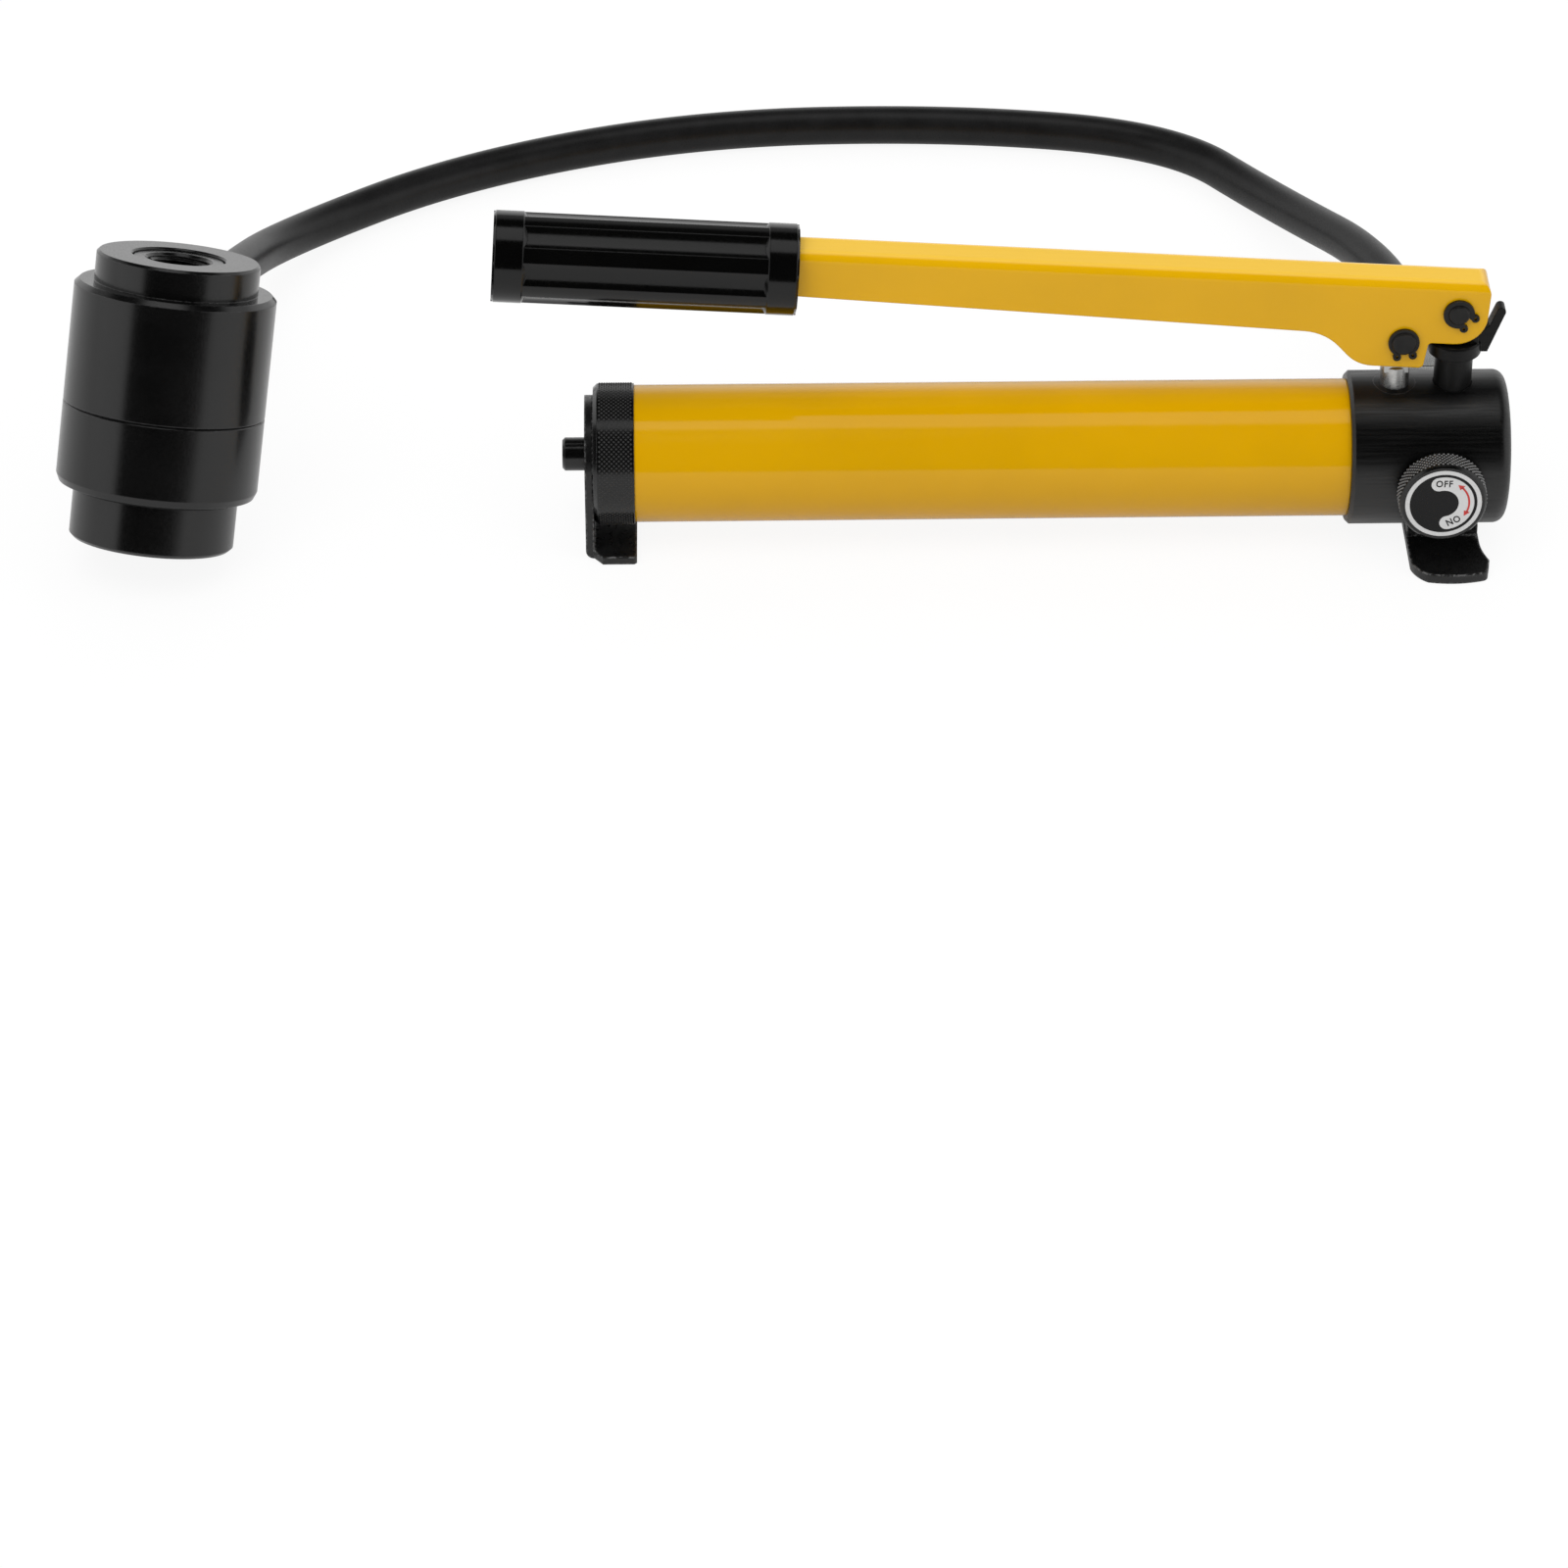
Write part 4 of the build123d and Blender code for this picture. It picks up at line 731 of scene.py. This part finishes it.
# ---------------------------------------------------------------------------- hand pump
@dataclass
class HandPump:
    """The pump's knurls, dial and gland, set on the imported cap, knob and head."""

    axis_height: float = 26.5 * MM
    cap_left: float = -255.7 * MM
    cap_right: float = -244.7 * MM
    cap_radius: float = 21.5 * MM
    cap_teeth: int = 92
    cap_rows: int = 15
    cap_rise: float = 0.4 * MM
    knob_front: float = -33.0 * MM
    knob_back: float = -24.5 * MM
    knob_radius: float = 13.2 * MM
    knob_edge: float = 0.7 * MM
    knob_teeth: int = 60
    knob_rows: int = 9
    knob_rise: float = 0.45 * MM
    head_radius: float = 23.5 * MM
    plunger_x: float = -13.1 * MM
    gland_bore: float = 4.55 * MM
    gland_thread: float = 6.0 * MM
    gland_rim: float = 6.39 * MM
    gland_seat: float = 47.4 * MM
    gland_foot: float = 42.4 * MM
    gland_steps: int = 96

    def build(self) -> list[Item]:
        """Makes the pump's fine pieces.

        Returns:
            The pieces.
        """
        cap_start = Matrix.Translation((self.cap_left, 0, self.axis_height))
        cap = KnurledBand(
            "cap_knurl", self.cap_radius, self.cap_right - self.cap_left,
            self.cap_teeth, self.cap_rows, self.cap_rise,
            cap_start @ Matrix.Rotation(pi / 2, 4, "Y"), "pump_and_ram", KNURLED_STEEL,
        )
        knob_y = self.knob_front + self.knob_edge
        knob_start = Matrix.Translation((0, knob_y, self.axis_height))
        knob = KnurledBand(
            "knob_knurl", self.knob_radius, self.knob_back - knob_y - self.knob_edge,
            self.knob_teeth, self.knob_rows, self.knob_rise,
            knob_start @ Matrix.Rotation(-pi / 2, 4, "X"), "release_valve", RUBBED_GLINT_KNURL,
        )
        dial = ReleaseDial(Vector((0, self.knob_front, self.axis_height)))
        return [cap.build(), knob.build(), self._gland(), *dial.build()]

    def _gland(self) -> Item:
        """Makes the plunger's gland, with its top turned down flush with the round head.

        Returns:
            The gland.
        """
        mesh = bmesh.new()
        head_top = self.axis_height + self.head_radius
        corners = (
            (self.gland_bore, self.gland_foot), (self.gland_thread, self.gland_foot),
            (self.gland_thread, self.gland_seat), (self.gland_rim, self.gland_seat),
            (self.gland_rim, head_top), (self.gland_bore, head_top),
        )
        verts = [mesh.verts.new((r, 0, z)) for r, z in corners]
        edges = [mesh.edges.new(pair) for pair in zip(verts, (*verts[1:], verts[0]))]
        bmesh.ops.spin(
            mesh, geom=[*verts, *edges], cent=(0, 0, 0), axis=(0, 0, 1),
            angle=2 * pi, steps=self.gland_steps, use_merge=True,
        )
        half_way = (self.gland_seat + head_top) / 2
        for vert in mesh.verts:
            if vert.co.z > half_way:
                vert.co.z = self.axis_height + (self.head_radius**2 - vert.co.y**2) ** 0.5
        place = Matrix.Translation((self.plunger_x, 0, 0))
        gland = piece("fitted_gland", mesh, place, SATIN_OXIDE, "pump_and_ram")
        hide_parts("plunger_gland")
        return gland


# ---------------------------------------------------------------------------- front foot
@dataclass
class FrontFoot:
    """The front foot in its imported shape, with the last sharp corner of its toe rounded.

    Attributes:
        radius: Radius of the rounded corner.
        segments: Facets of the rounding.
        toe_y: The toe lies in front of this.
        corner_turn: A corner turns by more than this.
        flat_turn: Faces that turn by less than this are one.
        crease_turn: Edges that turn by more than this stay crisp.
        same_place: Vertices nearer than this are one.
        plumb: How far the ends of an upright edge may stand apart on plan.
    """

    radius: float = 3.5 * MM
    segments: int = 8
    toe_y: float = -20.0 * MM
    corner_turn: float = radians(45)
    flat_turn: float = radians(1)
    crease_turn: float = radians(30)
    same_place: float = 1e-6
    plumb: float = 0.01 * MM

    def build(self) -> list[Item]:
        """Makes the foot.

        Returns:
            The foot.
        """
        mesh = bmesh.new()
        mesh.from_mesh(frame["nodes"]["front_foot"].data)
        bmesh.ops.remove_doubles(mesh, verts=mesh.verts, dist=self.same_place)
        bmesh.ops.dissolve_limit(
            mesh, angle_limit=self.flat_turn, verts=mesh.verts[:], edges=mesh.edges[:]
        )
        bmesh.ops.bevel(
            mesh, geom=[edge for edge in mesh.edges if self._is_corner(edge)],
            offset=self.radius, offset_type="OFFSET", segments=self.segments,
            profile=0.5, affect="EDGES", clamp_overlap=True,
        )
        foot = piece(
            "front_foot_plate", mesh, Matrix.Identity(4), CUT_PLATE, "pump_and_ram"
        )
        foot.data.polygons.foreach_set("use_smooth", [True] * len(foot.data.polygons))
        foot.data.set_sharp_from_angle(angle=self.crease_turn)
        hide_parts("front_foot")
        return [foot]

    def _is_corner(self, edge: BMEdge) -> bool:
        """Tells whether an edge is the toe's sharp upright corner.

        Args:
            edge: An edge of the foot.

        Returns:
            True for a sharp upright edge of the toe.
        """
        low, high = (vert.co for vert in edge.verts)
        upright = (low.xy - high.xy).length < self.plumb
        return upright and low.y < self.toe_y and edge.calc_face_angle(0) > self.corner_turn


# ---------------------------------------------------------------------------- ram
@dataclass
class PullRam:
    """The ram's draw-stud thread and return spring, in the ram's own leaning frame.

    Heights run along the ram's axis from its rear face, and leans are in degrees.
    """

    foot_x: float = -392.0 * MM
    foot_y: float = -19.4 * MM
    edge_radius: float = 24.0 * MM
    lean_back: float = 20.7
    lean_right: float = 7.8
    thread_radius: float = 9.525 * MM
    thread_depth: float = 0.95 * MM
    pitch: float = 1.5875 * MM
    thread_top: float = 86.2 * MM
    thread_gap: float = 0.01 * MM
    thread_flanks: Span = (0.42, 0.58)
    turns: int = 15
    steps: int = 48
    spring_floor: float = 6.0 * MM
    piston_bottom: float = 52.0 * MM
    stroke: float = 22.0 * MM
    spring_radius: float = 17.0 * MM
    wire_radius: float = 1.75 * MM
    wire_sides: int = 12
    spring_turns: float = 5.5

    def axis(self) -> Vector:
        """Returns the ram's axis, from its rear cap to its boss."""
        return Vector((tan(radians(self.lean_right)), tan(radians(self.lean_back)), 1)).normalized()

    def place(self, height: float) -> Matrix:
        """Returns the frame at a height along the ram's axis.

        Args:
            height: Distance from the rear face.

        Returns:
            A matrix whose Z is the ram's axis.
        """
        axis = self.axis()
        lean = Vector((0, 0, 1)).angle(axis)
        foot = Vector((self.foot_x, self.foot_y, self.edge_radius * sin(lean)))
        turn = axis.to_track_quat("Z", "Y").to_matrix().to_4x4()
        return Matrix.Translation(foot + axis * height) @ turn

    def build(self) -> list[Item]:
        """Makes the ram's fine pieces.

        Returns:
            The stud thread and the return spring.
        """
        return [self._thread(), self._spring()]

    def _spring(self) -> Item:
        """Makes the return spring at one fixed length, from its floor to the piston's bottom.

        Returns:
            The spring.
        """
        mesh = bmesh.new()
        start = Matrix.Translation((self.spring_radius, 0, self.wire_radius))
        bmesh.ops.create_circle(
            mesh, segments=self.wire_sides, radius=self.wire_radius,
            matrix=start @ Matrix.Rotation(pi / 2, 4, "X"),
        )
        length = self.piston_bottom - self.spring_floor
        steps = round(self.spring_turns * self.steps)
        bmesh.ops.spin(
            mesh, geom=[*mesh.verts, *mesh.edges], cent=(0, 0, 0), axis=(0, 0, 1),
            dvec=(0, 0, (length - 2 * self.wire_radius) / steps),
            angle=2 * pi * self.spring_turns, steps=steps,
        )
        self._close_ends(mesh, self.wire_sides)
        place = self.place(self.spring_floor)
        spring = piece("coiled_spring", mesh, place, SPRING_WIRE, "pump_and_ram")
        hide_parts("return_spring")
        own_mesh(spring)
        return spring

    def _thread(self) -> Item:
        """Makes the thread of the hole that takes the draw stud.

        Returns:
            The thread, which rides with the pull rod.
        """
        mesh = bmesh.new()
        root = self.thread_radius - self.thread_gap
        crest = root - self.thread_depth
        lower, upper = self.thread_flanks
        corners = ((root, 0), (crest, lower), (crest, upper), (root, 1.0))
        verts = [mesh.verts.new((r, 0, z * self.pitch)) for r, z in corners]
        ridge = [mesh.edges.new(pair) for pair in zip(verts, (*verts[1:], verts[0]))]
        bmesh.ops.spin(
            mesh, geom=[*verts, *ridge], cent=(0, 0, 0), axis=(0, 0, 1),
            dvec=(0, 0, self.pitch / self.steps),
            angle=2 * pi * self.turns, steps=self.turns * self.steps,
        )
        self._close_ends(mesh, len(corners))
        start = self.place(self.thread_top - (self.turns + 1) * self.pitch)
        return piece("stud_thread", mesh, start, BLACK_OXIDE, "pull_rod_assembly")

    def _close_ends(self, mesh: BMesh, sides: int) -> None:
        """Closes the two open ends of a helix.

        Args:
            mesh: The helix.
            sides: Edges round each end.
        """
        rims = [edge for edge in mesh.edges if edge.is_boundary]
        bmesh.ops.holes_fill(mesh, edges=rims, sides=sides)


# ---------------------------------------------------------------------------- hose
@dataclass
class PressureHose:
    """The rubber hose from the ram's ferrule to the pump's, on its laid route.

    Attributes:
        radius: Half the hose's diameter.
        ram_ferrule_end: Where the ferrule ends, from the ram's axis.
        pump_ferrule_end: Where the ferrule ends, from the pump's axis.
        axis_height: Height of the pump's axis over the floor.
        port_height: Height of the ram's port along its axis.
        port_turn: How far the port is turned from straight back, in degrees.
        ram_lead: Straight part at the ram.
        pump_lead: Straight part at the pump.
        landing: The point over the floor where the hose comes down.
        bends: The points that it takes on the floor.
        floor_gap: Air between the hose and the floor.
        length: Length between the ferrules; not used.
        along_steps: Fineness along the hose.
        round_steps: Fineness round it.
    """

    radius: float = 6.4 * MM
    ram_ferrule_end: float = 67.0 * MM
    pump_ferrule_end: float = 68.0 * MM
    axis_height: float = 26.5 * MM
    port_height: float = 66.0 * MM
    port_turn: float = 8.0
    ram_lead: float = 42.0 * MM
    pump_lead: float = 40.0 * MM
    landing: Place = (-0.361, 0.165, 0.008)
    bends: tuple[Span, ...] = (
        (-0.304, 0.212), (-0.226, 0.240), (-0.140, 0.243), (-0.064, 0.2295), (-0.034, 0.188),
    )
    floor_gap: float = 0.05 * MM
    length: float = 0.6
    along_steps: int = 24
    round_steps: int = 10

    def route(self, ram: PullRam) -> list[Vector]:
        """Returns the hose's points.

        Args:
            ram: The ram that it starts from.

        Returns:
            The control points, from the ram to the pump.
        """
        axis = ram.axis()
        straight = (Vector((0, 1, 0)) - axis * axis.y).normalized()
        out = Matrix.Rotation(radians(-self.port_turn), 3, axis) @ straight
        port = ram.place(self.port_height).translation
        lay = self.radius + self.floor_gap
        return [
            port + out * self.ram_ferrule_end,
            port + out * (self.ram_ferrule_end + self.ram_lead),
            Vector(self.landing),
            *(Vector((*bend, lay)) for bend in self.bends),
            Vector((0, self.pump_ferrule_end + self.pump_lead, self.axis_height)),
            Vector((0, self.pump_ferrule_end, self.axis_height)),
        ]

    def build(self, ram: PullRam) -> list[Item]:
        """Makes the hose as one smooth spline.

        Args:
            ram: The ram that it starts from.

        Returns:
            The hose.
        """
        points = self.route(ram)
        curve = bpy.data.curves.new("pressure_hose", "CURVE")
        curve.dimensions = "3D"
        spline = curve.splines.new("NURBS")
        spline.points.add(len(points) - 1)
        for target, point in zip(spline.points, points):
            target.co = (*point, 1)
        spline.order_u = 3
        spline.use_endpoint_u = True
        spline.resolution_u = self.along_steps
        curve.bevel_depth = self.radius
        curve.bevel_resolution = self.round_steps
        curve.use_fill_caps = True
        curve.materials.append(HOSE_COVER.material())
        hose = bpy.data.objects.new("pressure_hose", curve)
        bpy.context.collection.objects.link(hose)
        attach(hose, "pump_and_ram")
        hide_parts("hose")
        return [hose]


# ---------------------------------------------------------------------------- studio
@dataclass
class Softbox:
    """A large soft lamp that lights surfaces and leaves reflections to the room."""

    name: str
    place: Place
    size: float
    power: float

    def build(self, aim: Vector) -> Item:
        """Makes the lamp.

        Args:
            aim: The point it faces.

        Returns:
            The lamp.
        """
        data = bpy.data.lights.new(self.name, "AREA")
        data.shape = "DISK"
        data.size = self.size
        data.energy = self.power
        lamp = bpy.data.objects.new(self.name, data)
        lamp.location = self.place
        lamp.rotation_euler = (aim - lamp.location).to_track_quat("-Z", "Y").to_euler()
        lamp.visible_glossy = False
        bpy.context.collection.objects.link(lamp)
        return lamp


@dataclass
class Studio:
    """The pale floor, the lamps, the room that glossy surfaces mirror, and the camera.

    The room is described by the direction one looks in: its front part runs from -1 behind the
    object to 1 before it, and its height from -1 below to 1 above. Each span says where a panel
    starts or ends in one of the two.

    Attributes:
        target: The point the camera faces.
        azimuth: Its turn to the right, in degrees.
        elevation: Its height over the floor, in degrees.
        distance: Its distance.
        lens: Its focal length in millimetres.
        sensor: Its sensor's width in millimetres.
        clip: The nearest and farthest distance it sees.
        aim: The point the lamps face.
        ambient: Strength of the room's diffuse light.
        panel: Strength of the side panels in reflections.
        overhead: Strength of the overhead panel in reflections.
        back_fade: Share of the side panels that is left high up behind the object.
        base: Strength of the rest of the room in reflections.
        side_edge: Where the side panels end towards the front.
        back_edge: Where they fade towards the back.
        fade_edge: Heights between which they fade at the back.
        panel_edge: Heights between which they end.
        overhead_edge: Heights between which the overhead panel starts.
        floor_half: Half the floor's width.
        floor_middle: The floor's middle.
        paper: The floor's own brightness.
        glow: The brightness that the floor shows.
        shown_share: How much of that glow is seen.
        mirrored_share: How much of it is mirrored.
    """

    target: Place = (-0.2012, -0.13985, 0.0)
    azimuth: float = -1.0
    elevation: float = 34.8
    distance: float = 1.8494
    lens: float = 146.25
    sensor: float = 36.0
    clip: Span = (0.05, 20.0)
    aim: Place = (-0.2, 0.05, 0.03)
    ambient: float = 0.62
    panel: float = 1.0
    overhead: float = 1.15
    back_fade: float = 0.3
    base: float = 0.015
    side_edge: Span = (0.66, 0.76)
    back_edge: Span = (-0.8, -0.5)
    fade_edge: Span = (0.3, 0.5)
    panel_edge: Span = (0.6, 0.75)
    overhead_edge: Span = (0.93, 0.965)
    floor_half: float = 3.0
    floor_middle: Place = (-0.2, 0.3, -0.0002)
    paper: float = 0.8
    glow: float = 1.04
    shown_share: float = 0.87
    mirrored_share: float = 0.35

    def build(self) -> None:
        """Makes the whole studio."""
        self._floor()
        self._room()
        self._camera()
        for box in (
            Softbox("key_lamp", place=(-0.6, -0.7, 1.5), size=1.2, power=9.0),
            Softbox("fill_lamp", place=(0.9, -0.5, 1.1), size=1.0, power=4.0),
            Softbox("rear_lamp", place=(-0.2, 1.2, 1.2), size=1.2, power=4.0),
        ):
            box.build(Vector(self.aim))
        bpy.context.scene.view_settings.view_transform = "Standard"

    def _floor(self) -> None:
        """Makes the floor, which looks white and keeps a faint shadow."""
        mesh = bmesh.new()
        bmesh.ops.create_grid(mesh, x_segments=1, y_segments=1, size=self.floor_half)
        bmesh.ops.translate(mesh, verts=mesh.verts, vec=self.floor_middle)
        data = bpy.data.meshes.new("floor")
        mesh.to_mesh(data)
        mesh.free()
        floor = bpy.data.objects.new("floor", data)
        bpy.context.collection.objects.link(floor)
        paper = bpy.data.materials.new("white_paper")
        paper.use_nodes = True
        graph = ShaderGraph(paper.node_tree)
        matt = graph.add("BsdfDiffuse", {"Color": (self.paper, self.paper, self.paper, 1)})
        glow = graph.add("Emission", {"Color": (1, 1, 1, 1), "Strength": self.glow})
        path = graph.add("LightPath").outputs
        seen = graph.math("MAXIMUM", path["Is Camera Ray"], path["Is Transmission Ray"])
        shown = graph.math("MULTIPLY", seen, self.shown_share)
        mirrored = graph.math("MULTIPLY", path["Is Glossy Ray"], self.mirrored_share)
        share = graph.math("MAXIMUM", shown, mirrored)
        mix = graph.add("MixShader", {0: share, 1: matt.outputs[0], 2: glow.outputs[0]})
        graph.add("OutputMaterial", {"Surface": mix.outputs[0]})
        data.materials.append(paper)

    def _room(self) -> None:
        """Makes the room: even for diffuse light, white to the eye, panelled in reflections."""
        world = bpy.data.worlds.new("room")
        bpy.context.scene.world = world
        world.use_nodes = True
        graph = ShaderGraph(world.node_tree)
        way = graph.add("SeparateXYZ", {0: graph.add("TexCoord").outputs["Generated"]}).outputs
        squares = [graph.math("MULTIPLY", way[i], way[i]) for i in (0, 1)]
        level = graph.math("SQRT", graph.math("ADD", *squares))
        nearer = graph.math("MULTIPLY", way[1], -1.0)
        # The least level length keeps the division safe straight up and down.
        front = graph.math("DIVIDE", nearer, graph.math("MAXIMUM", level, 0.001))
        sides = graph.remap(front, self.side_edge, 1.0, 0.0)
        behind = graph.remap(front, self.back_edge, self.back_fade, 1.0)
        fade = graph.math("MAXIMUM", graph.remap(way[2], self.fade_edge, 1.0, 0.0), behind)
        low = graph.math("MULTIPLY", graph.remap(way[2], self.panel_edge, 1.0, 0.0), fade)
        panels = graph.math("MULTIPLY", graph.math("MULTIPLY", sides, low), self.panel)
        top = graph.remap(way[2], self.overhead_edge, 0.0, self.overhead)
        mirrored = graph.math("ADD", graph.math("MAXIMUM", panels, top), self.base)
        path = graph.add("LightPath").outputs
        glossy = graph.math("MULTIPLY", path["Is Glossy Ray"], mirrored)
        seen = graph.math("MAXIMUM", path["Is Camera Ray"], path["Is Transmission Ray"])
        shown = graph.math("MAXIMUM", seen, path["Is Glossy Ray"])
        diffuse = graph.math("MULTIPLY", graph.math("SUBTRACT", 1.0, shown), self.ambient)
        total = graph.math("ADD", graph.math("ADD", glossy, seen), diffuse)
        back = graph.add("Background", {"Color": (1, 1, 1, 1), "Strength": total})
        graph.add("OutputWorld", {"Surface": back.outputs[0]})

    def _camera(self) -> None:
        """Makes the camera."""
        data = bpy.data.cameras.new("camera")
        data.lens = self.lens
        data.sensor_width = self.sensor
        data.clip_start, data.clip_end = self.clip
        camera = bpy.data.objects.new("camera", data)
        turn, rise = radians(self.azimuth), radians(self.elevation)
        back = Vector((sin(turn) * cos(rise), -cos(turn) * cos(rise), sin(rise)))
        camera.location = Vector(self.target) + back * self.distance
        camera.rotation_mode = "QUATERNION"
        camera.rotation_quaternion = (-back).to_track_quat("-Z", "Y")
        bpy.context.collection.objects.link(camera)
        bpy.context.scene.camera = camera


# ---------------------------------------------------------------------------- whole object
def dress_nodes() -> None:
    """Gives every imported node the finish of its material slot."""
    slots = {part["node"]: part["material_slot"] for part in frame["record"]["subparts"]}
    for name, node in frame["nodes"].items():
        finish = NODE_FINISHES.get(name, SLOT_FINISHES[slots[name]])
        if not node.material_slots:
            node.data.materials.append(None)
        for holder in node.material_slots:
            holder.link = "OBJECT"
            holder.material = finish.material()


def main() -> None:
    """Builds the finishes, the fine pieces and the studio, in that order."""
    logging.basicConfig(level=logging.INFO)
    dress_nodes()
    ram = PullRam()
    for group in (HandPump().build(), FrontFoot().build(), ram.build(), PressureHose().build(ram)):
        for made in group:
            log.info("made %s", made.name)
    Studio().build()


if __name__ == "__main__":
    main()
